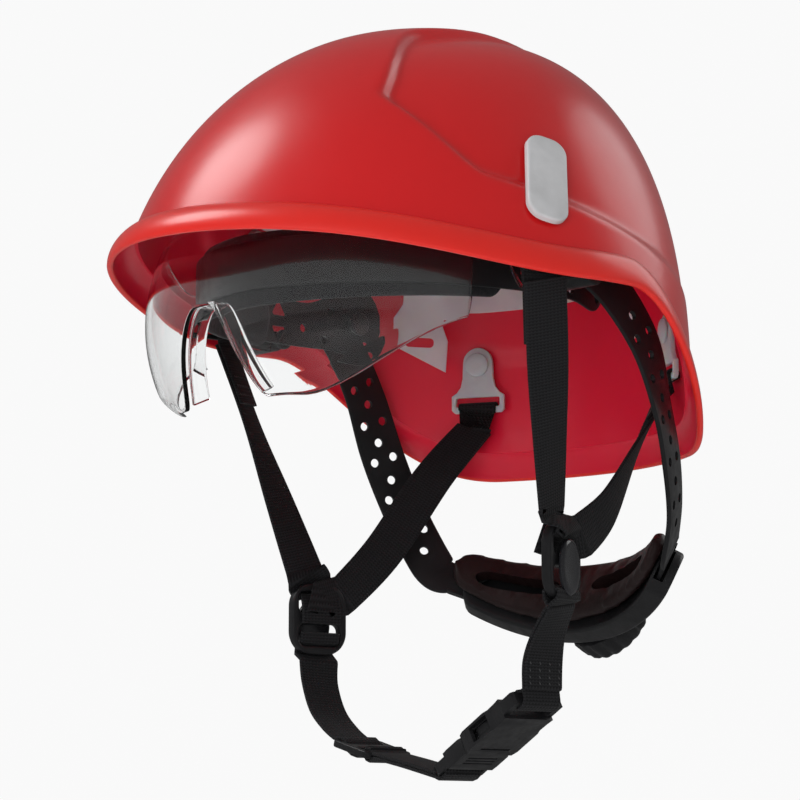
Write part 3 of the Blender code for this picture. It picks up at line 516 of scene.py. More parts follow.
def ribbon(samples, section):
    """Loft a section (across, through) along (point, width direction[, scale]) samples.

    The UVs are in metres, so a weave keeps its pitch.
    """
    bm = bmesh.new()
    chart = bm.loops.layers.uv.new("UVMap")
    rings, travelled = [], [0.0]
    for s, sample in enumerate(samples):
        here, side, normal = frame_at(samples, s)
        scale = sample[2] if len(sample) > 2 else 1.0
        if s:
            travelled.append(travelled[-1] + (here - samples[s - 1][0]).length)
        rings.append([bm.verts.new(here + side * x * scale + normal * z) for x, z in section])
    count = len(section)
    for s in range(len(rings) - 1):
        for i in range(count):
            k = (i + 1) % count
            face = bm.faces.new([rings[s][i], rings[s][k], rings[s + 1][k], rings[s + 1][i]])
            spots = ((i, s), (k, s), (k, s + 1), (i, s + 1))
            for corner, (point, row) in zip(face.loops, spots):
                corner[chart].uv = (section[point][0] + 0.5 * WEB_WIDTH, travelled[row])
    bm.faces.new(rings[0][::-1])
    bm.faces.new(rings[-1])
    return bm


def route(points, widths, steps, offset=0.0):
    """Samples along a smooth path in metres, moved sideways off its face by offset."""
    along = rounded([Vector(p) for p in points])
    across = rounded([Vector(w) for w in widths])
    samples = []
    for s in range(steps + 1):
        u = s / steps
        tangent = heading(along, u)
        side = square(across(u), tangent)
        samples.append((along(u) + tangent.cross(side) * offset, side))
    return samples


def flat_section(width, thick):
    return round_outline(width / 2, thick / 2, thick * 0.49, 3)


def bar_wrap(place, near, far, half):
    """Webbing turned round a bar across local X, from (near) past (far) and back, in mm.

    near and far are the bar's two edges in local Y, near being where the
    webbing comes from; half is half the bar's thickness.
    """
    lift = half + 0.95
    spots = [(near - 5, 0.85), (near - 1.5, lift * 0.8), (near + 0.4, lift), (far - 0.3, lift),
             (far + 1.0, lift * 0.62), (far + 1.35, 0)]
    spots += [(y, -z) for y, z in reversed(spots[:-1])]
    return placed(place, place.to_3x3() @ Vector((-1, 0, 0)), [(0, y, z) for y, z in spots])


def mesh_piece(name, bm, mat, smooth_angle=0.6, outward=True):
    if outward:
        bmesh.ops.recalc_face_normals(bm, faces=bm.faces)
    mesh = bpy.data.meshes.new(name)
    bm.to_mesh(mesh)
    bm.free()
    mesh.shade_smooth()
    mesh.set_sharp_from_angle(angle=smooth_angle)
    obj = bpy.data.objects.new(name, mesh)
    bpy.context.scene.collection.objects.link(obj)
    for one in mat if isinstance(mat, list) else [mat]:
        mesh.materials.append(one)
    return obj


def settle(obj, smooth_angle=0.6):
    """Apply all modifiers, leaving a plain mesh."""
    bpy.context.view_layer.update()
    shape = obj.evaluated_get(bpy.context.evaluated_depsgraph_get())
    mesh = bpy.data.meshes.new_from_object(shape)
    cutters = [m.object for m in obj.modifiers if m.type == "BOOLEAN"]
    obj.modifiers.clear()
    obj.data = mesh
    mesh.name = obj.name
    mesh.shade_smooth()
    mesh.set_sharp_from_angle(angle=smooth_angle)
    for cutter in cutters:
        bpy.data.objects.remove(cutter, do_unlink=True)
    return obj


def carve(obj, tools, operation="DIFFERENCE"):
    for bm in tools:
        bmesh.ops.recalc_face_normals(bm, faces=bm.faces)
        mesh = bpy.data.meshes.new("cutter")
        bm.to_mesh(mesh)
        bm.free()
        cutter = bpy.data.objects.new("cutter", mesh)
        bpy.context.scene.collection.objects.link(cutter)
        mod = obj.modifiers.new("carve", "BOOLEAN")
        mod.operation = operation
        mod.object = cutter
        mod.solver = "EXACT"
    return obj


def soften(obj, width, segments=3, angle=35):
    mod = obj.modifiers.new("soften", "BEVEL")
    mod.width = width
    mod.segments = segments
    mod.limit_method = "ANGLE"
    mod.angle_limit = math.radians(angle)
    mod.harden_normals = False
    return obj


def own(obj, body, slot_name, *nodes):
    """Ride on a body and stand for CAD nodes; slot_name is not used."""
    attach(obj, body)
    if nodes:
        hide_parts(*nodes)
    return obj


def plate(name, outline, place, thick, mat, holes=(), edge=0.6 * MM):
    """Flat moulding with rounded edges and rounded holes."""
    obj = mesh_piece(name, prism(outline, place, thick), mat)
    carve(obj, [prism(hole, place, 3 * thick) for hole in holes])
    settle(obj)
    soften(obj, edge)
    return settle(obj)


def stitches(name, samples, rows, face, span):
    """Rows of slanted thread sewn along samples, on the strap's face 1 or -1.

    rows count in thread spacings from the middle; span is the sewn share of the samples.
    """
    bm = bmesh.new()
    for row in rows:
        travelled = 0.0
        for s in range(1, len(samples)):
            here, side = samples[s][0], samples[s][1]
            tangent = (here - samples[s - 1][0])
            travelled += tangent.length
            if travelled < STITCH_PITCH or not span[0] <= s / len(samples) <= span[1]:
                continue
            travelled = 0.0
            tangent.normalize()
            side = square(side, tangent)
            normal = tangent.cross(side)
            way = (tangent + side * STITCH_SLANT).normalized()
            wide = normal.cross(way)
            base = here + side * row * STITCH_SPACING + normal * face * STITCH_LIFT
            ends = [bm.verts.new(base - way * STITCH_REACH), bm.verts.new(base + way * STITCH_REACH)]
            ring = [bm.verts.new(base + wide * STITCH_HALF * a + normal * face * STITCH_BULGE * b)
                    for a, b in ((1, 0), (0.6, 1), (-0.6, 1), (-1, 0), (0, -0.6))]
            for i, one in enumerate(ring):
                after = ring[(i + 1) % len(ring)]
                bm.faces.new([ends[0], one, after])
                bm.faces.new([ends[1], after, one])
    own(mesh_piece(name, bm, THREAD, 1.2), "root", "webbing")


# ------------------------------------------------------------------- shell

def crease_height(y):
    rise = (CREASE_FRONT - CREASE_SIDE) * smoothstep(0, SHELL_FRONT, -y)
    fall = (CREASE_REAR - CREASE_SIDE) * smoothstep(SKIRT_START, SKIRT_END, y)
    return CREASE_SIDE + rise + fall


def shell_section(turn, z):
    c = -math.cos(turn)
    s = math.sin(turn)
    power = 2 / SHELL_PLAN_POWER
    length = SHELL_FRONT if c < 0 else SHELL_REAR
    y = length * signed_power(c, power)
    x = SHELL_HALF_WIDTH * signed_power(s, power) * (1 + SHELL_EGG * c)
    t = min(max((z - SHELL_EQUATOR) / (SHELL_CROWN - SHELL_EQUATOR), 0), 1)
    if z > SHELL_EQUATOR:
        scale = (1 - t ** SHELL_PROFILE_POWER) ** (1 / SHELL_PROFILE_POWER)
    else:
        scale = 1 + SHELL_SKIRT_FLARE * (SHELL_EQUATOR - z)
    return Vector((x * scale, y * scale + CROWN_SHIFT * t * t, z))


def recess_amount(p, soft):
    """0 on the raised front, spine and lower band; 1 deep in a side recess."""
    spine = 28 * MM + 30 * MM * smoothstep(8 * MM, 62 * MM, -p.y)
    lower = 43 * MM - 0.28 * p.y + 30 * MM * smoothstep(32 * MM, 62 * MM, -p.y)
    a = (abs(p.x) - spine) / soft
    b = (p.z - lower) / soft
    blend = 0.5 * (a + b - math.sqrt((a - b) ** 2 + 0.5))
    return smoothstep(-0.45, 0.55, blend)


def recess_depth(p, soft=RECESS_SOFT):
    fade = 1 - 0.75 * smoothstep(-10 * MM, 90 * MM, p.y)
    return RECESS_DEPTH * fade * recess_amount(p, soft)


def dome_base(turn, down):
    foot = shell_section(turn, CREASE_SIDE)
    for _ in range(3):
        foot = shell_section(turn, crease_height(foot.y))
    z = foot.z + (SHELL_CROWN - foot.z) * math.cos(down * math.pi / 2)
    return shell_section(turn, min(z, SHELL_CROWN - 1e-7))


def dome_normal(turn, down):
    if down < 0.01:
        return Vector((0, -0.15, 1)).normalized()
    step = 0.01
    across = dome_base(turn + step, down) - dome_base(turn - step, down)
    fall = dome_base(turn, min(down + step, 1)) - dome_base(turn, down - step)
    return fall.cross(across).normalized()


def side_surface(y, z, side):
    turn = math.pi / 2
    for _ in range(30):
        p = shell_section(turn, z)
        turn += (y - p.y) / SHELL_REAR * 0.7
    a = shell_section(turn + 0.01, z) - shell_section(turn - 0.01, z)
    b = shell_section(turn, z - MM) - shell_section(turn, z + MM)
    normal = b.cross(a).normalized()
    p = shell_section(turn, z) - normal * recess_depth(p)
    return Vector((p.x * side, p.y, p.z)), Vector((normal.x * side, normal.y, normal.z))


def slot_frame(side):
    """Local X forward, local Y up the wall, local Z out of the slot."""
    half = Vector((0, SLOT_LEAN, 1)) * COVER_SIZE[1] * 0.45
    normal = side_surface(SLOT_CENTRE.y, SLOT_CENTRE.z, side)[1]
    top = side_surface(SLOT_CENTRE.y + half.y, SLOT_CENTRE.z + half.z, side)[0]
    low = side_surface(SLOT_CENTRE.y - half.y, SLOT_CENTRE.z - half.z, side)[0]
    up = (top - low).normalized()
    forward = up.cross(normal).normalized()
    return basis((top + low) / 2, forward, up)


def shell_column(turn):
    """One closed wall section: down the outside, round the lip, up the inside."""
    outer, inner = [], []
    for j in range(1, DOME_ROWS + 1):
        down = j / DOME_ROWS
        base = dome_base(turn, down)
        normal = dome_normal(turn, down)
        point = base - normal * recess_depth(base, RECESS_CRISP)
        outer.append(point)
        inner.append(point - normal * SHELL_WALL)
    base = dome_base(turn, 1)
    normal = dome_normal(turn, 1)
    normal.z = 0
    normal.normalize()
    reach = BRIM_SIDE + (BRIM_FRONT - BRIM_SIDE) * smoothstep(0.15, 1.0, math.cos(turn))
    for j in range(1, BRIM_ROWS + 1):
        out = j / BRIM_ROWS
        point = base + normal * reach * math.sin(out * math.pi / 2) ** 0.8
        point.z -= BRIM_DROP * (1 - math.cos(out * math.pi / 2)) ** 0.7
        outer.append(point)
        inner.append(point - normal * SHELL_WALL)
    middle = (outer[-1] + inner[-1]) / 2
    lip = []
    half = SHELL_WALL / 2
    for k in range(1, LIP_ROWS + 1):
        a = math.pi * k / (LIP_ROWS + 1)
        lip.append(middle + normal * half * math.cos(a) - UP * half * math.sin(a) * 0.8)
    return outer + lip + inner[::-1]


def make_shell():
    bm = bmesh.new()
    columns = []
    for i in range(SHELL_COLUMNS):
        columns.append([bm.verts.new(p) for p in shell_column(math.tau * i / SHELL_COLUMNS)])
    crown = Vector((0, CROWN_SHIFT, SHELL_CROWN))
    poles = [bm.verts.new(crown), bm.verts.new(crown - dome_normal(0, 0) * SHELL_WALL)]
    rows = len(columns[0])
    outside = DOME_ROWS + BRIM_ROWS + LIP_ROWS
    for i in range(SHELL_COLUMNS):
        a, b = columns[i], columns[(i + 1) % SHELL_COLUMNS]
        bm.faces.new([poles[0], a[0], b[0]])
        inside = bm.faces.new([poles[1], b[-1], a[-1]])
        inside.material_index = 2
        for j in range(rows - 1):
            face = bm.faces.new([a[j], a[j + 1], b[j + 1], b[j]])
            face.material_index = 0 if j < DOME_ROWS - 1 else 1 if j < outside else 2
    shell = mesh_piece("shell_moulding", bm, [SHELL_RED, BRIM_RED_PAINTED_GLOW, INSIDE_RED], 0.9)
    tools = []
    for side in (-1, 1):
        place = slot_frame(side)
        tools.append(prism(round_outline(SLOT_SIZE[0] / 2, SLOT_SIZE[1] / 2, SLOT_SIZE[0] / 2 - GAP),
                           place, 2 * POCKET_CLEAR))
        floor = COVER_LIFT - COVER_THICK / 2 - GAP
        middle = Matrix.Translation((0, 0, floor + POCKET_CLEAR / 2))
        tools.append(prism(cover_outline(-GAP), place @ middle, POCKET_CLEAR))
    settle(carve(shell, tools), 0.75)
    own(shell, "root", "shell_red", "shell")


def cover_outline(inset):
    return round_outline(COVER_SIZE[0] / 2 - inset, COVER_SIZE[1] / 2 - inset, COVER_CORNER - inset)


def make_slot_cover(side):
    """Grey plug: a softly domed cap on a keyed shank."""
    place = slot_frame(side)
    low, high = COVER_LIFT - COVER_THICK / 2, COVER_LIFT + COVER_THICK / 2
    rings = []
    steps = [(0.0, low), (0.0, high - COVER_EDGE)]
    for k in range(1, 7):
        a = math.radians(90 * k / 6)
        steps.append((COVER_EDGE * (1 - math.cos(a)),
                      high - COVER_DOME - (COVER_EDGE - COVER_DOME) * (1 - math.sin(a))))
    for inset, z in steps:
        rings.append([place @ Vector((x, y, z)) for x, y in cover_outline(inset)])
    for share in (0.75, 0.5, 0.25, 0.08):
        z = high - COVER_DOME * share ** 2
        rings.append([place @ Vector((x * share, y * share, z)) for x, y in cover_outline(COVER_EDGE)])
    cover = mesh_piece(side_name("slot_plug", side), loops(rings), COVER_GREY, 0.7)
    shank = round_outline(SLOT_SIZE[0] / 2 - GAP, SLOT_SIZE[1] / 2 - GAP, SLOT_SIZE[0] / 2 - 2 * GAP)
    middle = Matrix.Translation((0, 0, (COVER_LIFT - SHANK_REACH) / 2 - 0.4 * MM))
    carve(cover, [prism(shank, place @ middle, COVER_LIFT + SHANK_REACH - 0.8 * MM)], "UNION")
    settle(cover, 0.7)
    own(cover, "root", "cover_grey", side_name("slot_cover", side))


# ------------------------------------------------------------------ cradle

def cradle_point(turn, down, inset=0.0):
    base = dome_base(turn, CRADLE_DEPTH * down)
    return base - dome_normal(turn, CRADLE_DEPTH * down) * (CRADLE_OFFSET + inset)


def cradle_strip(turn, start, stop, half_width, steps=36):
    """Arm down the dome; half_width(share) in metres, with rounded long edges."""
    rings = []
    for s in range(steps + 1):
        share = s / steps
        down = start + (stop - start) * share
        step = cradle_point(turn + 0.02, down) - cradle_point(turn - 0.02, down)
        per_radian = step.length / 0.04
        ring = []
        wide = half_width(share) / max(per_radian, CRADLE_NARROW)
        section = round_outline(1, CRADLE_THICK / 2, CRADLE_THICK * 0.4, 2)
        for x, z in section:
            x = min(max(x, -1), 1)
            ring.append(cradle_point(turn + x * wide, down, CRADLE_THICK / 2 - z))
        rings.append(ring)
    return loops(rings)


def cradle_ring(low, high, steps=160):
    """Belt all round, between two depths on the dome."""
    rings = []
    for s in range(steps):
        turn = math.tau * s / steps
        ring = []
        for x, z in round_outline(1, CRADLE_THICK / 2, CRADLE_THICK * 0.4, 2):
            share = (x + 1) / 2
            ring.append(cradle_point(turn, low + (high - low) * share, CRADLE_THICK / 2 - z))
        rings.append(ring)
    return loops(rings, wrap=True)


def make_cradle():
    """Milky suspension: crown hub, belt and six arms with hooked feet."""
    hub = [[cradle_point(math.tau * i / 64, down, inset) for i in range(64)]
           for down, inset in ((0.03, CRADLE_THICK), (0.03, 0), (0.1, 0), (0.16, 0), (0.2, 0.2 * MM),
                               (0.205, CRADLE_THICK / 2), (0.2, CRADLE_THICK - 0.2 * MM),
                               (0.16, CRADLE_THICK), (0.1, CRADLE_THICK))]
    cradle = mesh_piece("cradle_moulding", loops(hub, wrap=True), MILKY, 0.8)
    tools = [cradle_ring(*CRADLE_BELT)]
    turns = [math.radians(a * side) for a in CRADLE_ARMS for side in (-1, 1)]

    def arm(share):
        foot = 4.5 * MM * smoothstep(0.86, 0.92, share)
        waist = 2.2 * MM * math.sin(math.pi * min(share / 0.85, 1)) ** 2
        return 9.2 * MM - waist + foot
    for turn in turns:
        tools.append(cradle_strip(turn, 0.15, 0.9, arm))
    settle(carve(cradle, tools, "UNION"))
    holes = []
    for turn in turns:
        for down, half_y, half_x in ((0.34, 10, 2.6), (0.52, 9, 2.4), (0.64, 4, 2.2), (0.86, 2.2, 6.5)):
            here = cradle_point(turn, down)
            normal = dome_normal(turn, CRADLE_DEPTH * down)
            fall = cradle_point(turn, down + 0.02) - here
            place = basis(here, fall.cross(normal), fall)
            holes.append(prism(round_outline(half_x * MM, half_y * MM, 1.9 * MM, 5), place, 12 * MM))
    settle(carve(cradle, holes), 0.7)
    own(cradle, "root", "milky_plastic", "cradle")


# ---------------------------------------------------------------- headband

def band_point(turn, z, offset=0.0):
    x = BAND_HALF_WIDTH * math.sin(turn)
    y = -BAND_HALF_LENGTH * math.cos(turn)
    out = Vector((x / BAND_HALF_WIDTH ** 2, y / BAND_HALF_LENGTH ** 2, 0)).normalized()
    return Vector((x, y + BAND_CENTRE_Y, z)) + out * offset


def peg_frame(side):
    return Matrix.Translation(TEMPLE) @ Matrix.Rotation(math.pi / 2 * side, 4, "Y")


def peg_cutter(side):
    return rod(PEG_RADIUS + GAP, PEG_SPAN[0] - 10 * MM, PEG_SPAN[1] + 10 * MM, peg_frame(side), 32)


def round_triangle(flip):
    """Triangle with rounded corners, point up for 1 and point down for -1."""
    outline = []
    for n, (x, y) in enumerate(((0, 3.45), (-3.3, -1.95), (3.3, -1.95))):
        for k in range(7):
            a = math.radians(30 + 120 * n + 20 * k)
            outline.append((MM * (x + math.cos(a)), MM * flip * (y + math.sin(a))))
    return outline


def make_headband():
    """Black brow plate with rounded ends, triangular lightening holes and adjusting holes."""
    steps = 200
    rings = []
    for i in range(steps + 1):
        turn = BAND_REACH * (2 * i / steps - 1)
        share = abs(turn) / BAND_REACH
        low = BAND_LOW - 4 * MM * smoothstep(0.85, 1.0, share)
        high = BAND_HIGH + BAND_TEMPLE_RISE * smoothstep(0.8, 0.95, share)
        end = math.sqrt(max(1 - max(share - 0.93, 0) ** 2 / 0.0052, 0.04))
        middle, half = (low + high) / 2, (high - low) / 2 * end
        rings.append([band_point(turn, middle + z, BAND_THICK / 2 + x)
                      for x, z in round_outline(BAND_THICK / 2, half, 0.7 * MM, 3)])
    band = mesh_piece("brow_band", loops(rings), BLACK)
    tools = [peg_cutter(-1), peg_cutter(1)]
    for side in (-1, 1):
        for degrees, height, flip in ((85.5, 25.5, 1), (85.5, 15, -1), (94, 18.5, 0), (103, 27, 0),
                                      (101, 14, 0), (113.5, 13, 0)):
            turn = math.radians(degrees * side)
            here = band_point(turn, height * MM, BAND_THICK / 2)
            out = here - band_point(turn, height * MM, -10 * MM)
            outline = round_triangle(flip) if flip else circle(1.9 * MM, 20)
            tools.append(prism(outline, basis(here, UP.cross(out), UP), 14 * MM))
    settle(carve(band, tools))
    own(band, "root", "black_plastic", "headband_front")


def make_sweatband():
    """Quilted brow pad: a crowned textile strip with a sewn channel along both edges."""
    columns, around = 220, 36
    rings = []
    for i in range(columns + 1):
        turn = SWEAT_REACH * (2 * i / columns - 1)
        share = abs(turn) / SWEAT_REACH
        low = SWEAT_LOW + 3 * MM * share ** 2
        high = SWEAT_HIGH - 2 * MM * share
        end = math.sqrt(max(1 - max(share - 0.94, 0) ** 2 / 0.0038, 0.03))
        middle, half = (low + high) / 2, (high - low) / 2 * end
        ring = []
        for k in range(around):
            a = math.tau * k / around
            v = signed_power(math.sin(a), 0.55)
            depth = signed_power(math.cos(a), 0.45)
            seam = math.exp(-((abs(v) - 0.8) / 0.06) ** 2)
            pucker = 0.12 * seam * math.sin(turn * 95) + 0.05 * noise.noise(Vector((turn * 9, v * 2, 0)))
            crown = (0.8 + 0.2 * (1 - v * v)) * (1 - 0.45 * seam + pucker) * end
            thick = SWEAT_THICK / 2 * depth * crown
            ring.append(band_point(turn, middle + half * v, -SWEAT_THICK / 2 - GAP + thick))
        rings.append(ring)
    pad = mesh_piece("brow_pad", loops(rings), TEXTILE, 1.2)
    own(pad, "root", "sweatband_textile", "sweatband")


# ------------------------------------------------------------------- visor

def lens_top(angle):
    share = abs(angle) / WING_END
    return 40 * MM - 16 * MM * min(share, 1) ** 2 + 9 * MM * smoothstep(0.86, 1.2, share)


def lens_low(angle):
    if abs(angle) > WING_END:
        return 20 * MM - 12 * MM * smoothstep(math.radians(83), math.radians(88), abs(angle))
    x = abs(lens_point(angle, 0).x)
    notch = 3 * MM - 38 * MM * smoothstep(4 * MM, 31 * MM, x)
    wing = 30 * MM * min(max((x - 45 * MM) / (45 * MM), 0), 1) ** 2.2
    return notch + wing


def lens_point(angle, z, offset=0.0):
    power = 2 / LENS_POWER
    fade = 1 - smoothstep(math.radians(55), math.radians(82), abs(angle))
    bulge = fade * (z - LENS_BULGE_HEIGHT) ** 2 / (2 * LENS_BULGE_RADIUS)
    x = (LENS_HALF_WIDTH + offset - bulge) * signed_power(math.sin(angle), power)
    y = (LENS_REACH + offset - bulge) * signed_power(math.cos(angle), power)
    return Vector((x, LENS_CENTRE_Y - y, z))


def lens_angles():
    wing = [WING_END * k / 84 for k in range(84)] + [WING_END - 0.003]
    arm = [WING_END + 0.003 + (ARM_END - WING_END - 0.003) * k / 20 for k in range(21)]
    half = wing + arm
    return [-a for a in reversed(half[1:])] + half


def make_visor():
    """Wrap-round lens with rounded edges and a lower edge that curls inward."""
    rings = []
    half = LENS_THICK / 2
    edge = half * 0.9
    corner = (math.pi / 4, math.pi / 2, 3 * math.pi / 4)
    for angle in lens_angles():
        top, low = lens_top(angle), lens_low(angle)
        x = abs(lens_point(angle, 0).x)
        curl = LENS_CURL * smoothstep(38 * MM, 50 * MM, x) * (1 if abs(angle) < WING_END else 0)

        def spot(z, out):
            bend = curl * max(1 - (z - low) / LENS_FOLD, 0) ** 2
            return lens_point(angle, z, out - half - bend)
        fold, start = min(low + LENS_FOLD, (low + top) / 2), low + edge
        heights = [top - edge + (fold - top + edge) * k / LENS_ROWS for k in range(LENS_ROWS)]
        heights += [fold + (start - fold) * k / FOLD_ROWS for k in range(FOLD_ROWS + 1)]
        ring = [spot(z, half) for z in heights]
        ring += [spot(low + edge - edge * math.sin(a), half * math.cos(a)) for a in corner]
        ring += [spot(z, -half) for z in reversed(heights)]
        ring += [spot(top - edge + edge * math.sin(a), -half * math.cos(a)) for a in corner]
        rings.append(ring)
    lens = mesh_piece("visor_screen", loops(rings), CLEAR, 0.9)
    reach = 9 * MM
    tools = []
    for side in (-1, 1):
        place = Matrix.Translation((side * LENS_HALF_WIDTH, PIVOT.y, PIVOT.z))
        place = place @ Matrix.Rotation(math.pi / 2, 4, "Y")
        tools.append(rod(PIVOT_PIN_RADIUS + GAP, -reach, reach, place))
    settle(carve(lens, tools), 0.9)
    own(lens, "visor", "clear_visor", "visor_lens")


def make_nose_bridge():
    """Clear flange that follows the nose notch just behind the lens."""
    width = 8 * MM
    inset = -LENS_THICK - GAP - width / 2 - 0.8 * MM
    samples = []
    for k in range(61):
        angle = math.radians(-13 + 26 * k / 60)
        samples.append((lens_point(angle, lens_low(angle) + 1.2 * MM, inset), FLAT))
    bridge = mesh_piece("nose_flange", ribbon(samples, round_outline(width / 2, 0.95 * MM, 0.8 * MM, 4)),
                        CLEAR, 0.9)
    own(bridge, "visor", "clear_visor", "nose_bridge")


def make_visor_pivot(side):
    inside = LENS_HALF_WIDTH - LENS_THICK - 0.8 * MM
    outside = LENS_HALF_WIDTH + 1.2 * MM
    head = 2 * MM
    shoulder, pin = PIVOT_SHOULDER_RADIUS, PIVOT_PIN_RADIUS
    profile = [(0, inside - head), (shoulder, inside - head), (shoulder, inside), (pin, inside),
               (pin, outside), (shoulder, outside), (shoulder, PIVOT_WALL), (0, PIVOT_WALL)]
    turn = Matrix.Translation((0, PIVOT.y, PIVOT.z)) @ Matrix.Rotation(math.pi / 2 * side, 4, "Y")
    pivot = mesh_piece(side_name("pivot_pin", side), turned(profile, turn), BLACK)
    settle(soften(pivot, 0.5 * MM))
    own(pivot, "root", "black_plastic", side_name("visor_pivot", side))


# --------------------------------------------------------------- nape unit

def nape_frame():
    lean = Matrix.Rotation(-NAPE_TILT, 4, "X")
    return Matrix.Translation(NAPE_CENTRE) @ lean @ Matrix.Translation((0, -RACK_RADIUS, 0))


def nape_point(angle, radius, height):
    return nape_frame() @ Vector((radius * math.sin(angle), radius * math.cos(angle), height))


def knob_frame(radius):
    return nape_frame() @ Matrix.Translation((0, radius, 0)) @ Matrix.Rotation(-math.pi / 2, 4, "X")


def nape_block(radius_in, radius_out, top, low, span, columns, corner):
    """Block curved round the nape, its section a rounded rectangle and its ends rounded."""
    rings = []
    for i in range(columns + 1):
        share = 2 * i / columns - 1
        close = math.sqrt(max(1 - max(abs(share) - 0.9, 0) ** 2 / 0.0103, 0.02))
        middle = (top(share) + low(share)) / 2
        half = (top(share) - low(share)) / 2 * close
        thick = (radius_out - radius_in) / 2
        radius = (radius_out + radius_in) / 2
        rings.append([nape_point(span * share, radius + x, middle + z)
                      for x, z in round_outline(thick, half, min(corner, half * 0.9), 5)])
    return loops(rings)


def nape_slots(radius, half_angle, half_deep, half_tall, corner=math.inf):
    """Cutters for the two long round-ended slots, one each side."""
    cutters = []
    for side in (-1, 1):
        rings = []
        for i in range(25):
            share = 2 * i / 24 - 1
            tall = half_tall * math.sqrt(max(1 - share ** 6, 0.05))
            angle = side * math.radians(SLOT_ANGLE + half_angle * share)
            rings.append([nape_point(angle, radius + x, z)
                          for x, z in round_outline(half_deep, tall, min(corner, tall * 0.6), 3)])
        cutters.append(loops(rings))
    return cutters


def make_nape_housing():
    """Curved case with the racks' channel, the knob shaft's bore and two windows."""
    def top(share):
        return HOUSING_END_HALF_HEIGHT + (HOUSING_TOP - HOUSING_END_HALF_HEIGHT) * (1 - share ** 2)

    def low(share):
        return -HOUSING_END_HALF_HEIGHT - (HOUSING_DROP - HOUSING_END_HALF_HEIGHT) * (1 - share ** 2)
    housing = mesh_piece("ratchet_case", nape_block(HOUSING_FRONT, HOUSING_REAR, top, low, HOUSING_SPAN,
                                                    80, 1.6 * MM), BLACK)
    half = RACK_THICK / 2 + 0.7 * MM
    tall = CHANNEL_HALF_HEIGHT
    channel = []
    for i in range(81):
        angle = HOUSING_SPAN * 1.1 * (2 * i / 80 - 1)
        channel.append([nape_point(angle, RACK_RADIUS + x, z)
                        for x, z in ((half, tall), (-half, tall), (-half, -tall), (half, -tall))])
    bore = rod(SHAFT_RADIUS + GAP, 0, HOUSING_REAR - RACK_RADIUS + 4 * MM, knob_frame(RACK_RADIUS))
    windows = nape_slots(RACK_RADIUS - 3 * MM, 13, 2.6 * MM, 6.2 * MM, 0.8 * MM)
    settle(carve(housing, [loops(channel), bore] + windows))
    own(housing, "root", "black_plastic", "nape_housing")


def inflate(obj, swell, limit):
    """Puff a closed mesh up as a stuffed pad with a short cloth simulation."""
    rest = [v.co.copy() for v in obj.data.vertices]
    mod = obj.modifiers.new("puff", "CLOTH")
    mod.settings.use_pressure = True
    mod.settings.uniform_pressure_force = swell
    mod.settings.effector_weights.gravity = 0
    mod.settings.quality = 6
    mod.point_cache.frame_start = 1
    mod.point_cache.frame_end = 20
    scene = bpy.context.scene
    for step in range(1, 21):
        scene.frame_set(step)
    shape = obj.evaluated_get(bpy.context.evaluated_depsgraph_get())
    moved = [v.co.copy() for v in shape.data.vertices]
    obj.modifiers.clear()
    scene.frame_set(1)
    for vert, old, new in zip(obj.data.vertices, rest, moved):
        shift = new - old
        if shift.length > limit:
            shift *= limit / shift.length
        vert.co = old + shift


def make_nape_pad():
    """Soft crescent cushion with two long slots over the racks."""
    slim = 1.3 * MM

    def top(share):
        return PAD_HALF_HEIGHT - slim - 3 * MM * share ** 2

    def low(share):
        return -PAD_HALF_HEIGHT + slim + (2 * (PAD_HALF_HEIGHT - PAD_END_HALF_HEIGHT) - 3 * MM) * share ** 2
    pad = mesh_piece("nape_cushion", nape_block(PAD_FRONT + slim, PAD_REAR - 0.7 * MM, top, low,
                                                PAD_SPAN - slim / PAD_REAR, 60, 2.6 * MM), PAD_SKIN)
    remesh = pad.modifiers.new("even", "REMESH")
    remesh.mode = "VOXEL"
    remesh.voxel_size = 2.2 * MM
    settle(pad, 3)
    pad.data.materials.clear()
    pad.data.materials.append(PAD_SKIN)
    inflate(pad, 4.0, 1.6 * MM)
    smooth = pad.modifiers.new("fine", "SUBSURF")
    smooth.levels = smooth.render_levels = 1
    settle(pad, 3)
    slots = nape_slots((PAD_FRONT + PAD_REAR) / 2, 14, 9 * MM, 3.9 * MM)
    settle(carve(pad, slots), 0.8)
    own(pad, "root", "nape_pad_foam", "nape_pad")


def make_knob():
    """Ratchet knob with grip flutes round its rim and a dished face."""
    start = RACK_RADIUS + RACK_THICK / 2 + GAP
    plate_at = HOUSING_REAR + 0.8 * MM - start
    end = plate_at + KNOB_DEPTH
    grip = KNOB_RADIUS
    profile = [(0, 0), (SHAFT_RADIUS, 0), (SHAFT_RADIUS, plate_at)]
    profile += [(grip - x * MM, plate_at + z * MM) for x, z in ((2, 0), (0.6, 0.6), (0, 2), (0.3, 6))]
    profile += [(grip - x * MM, end - z * MM) for x, z in ((0.8, 2.4), (1.8, 0.8), (3.6, 0.1), (5.0, 0),
                                                           (6.2, 0.5), (7, 1.4))]
    profile += [(x * MM, end - z * MM) for x, z in ((5, 1.7), (4.4, 1.2), (2, 1.0), (0, 1.0))]

    def flute(angle, row):
        depth = {4: 0.02, 5: 0.055, 6: 0.06, 7: 0.06, 8: 0.045, 9: 0.015}.get(row, 0)
        return 1 - depth * (0.5 - 0.5 * math.cos(18 * angle)) ** 1.5
    knob = mesh_piece("ratchet_knob", turned(profile, knob_frame(start), 216, flute), BLACK, 0.7)
    own(knob, "knob", "black_plastic", "knob")


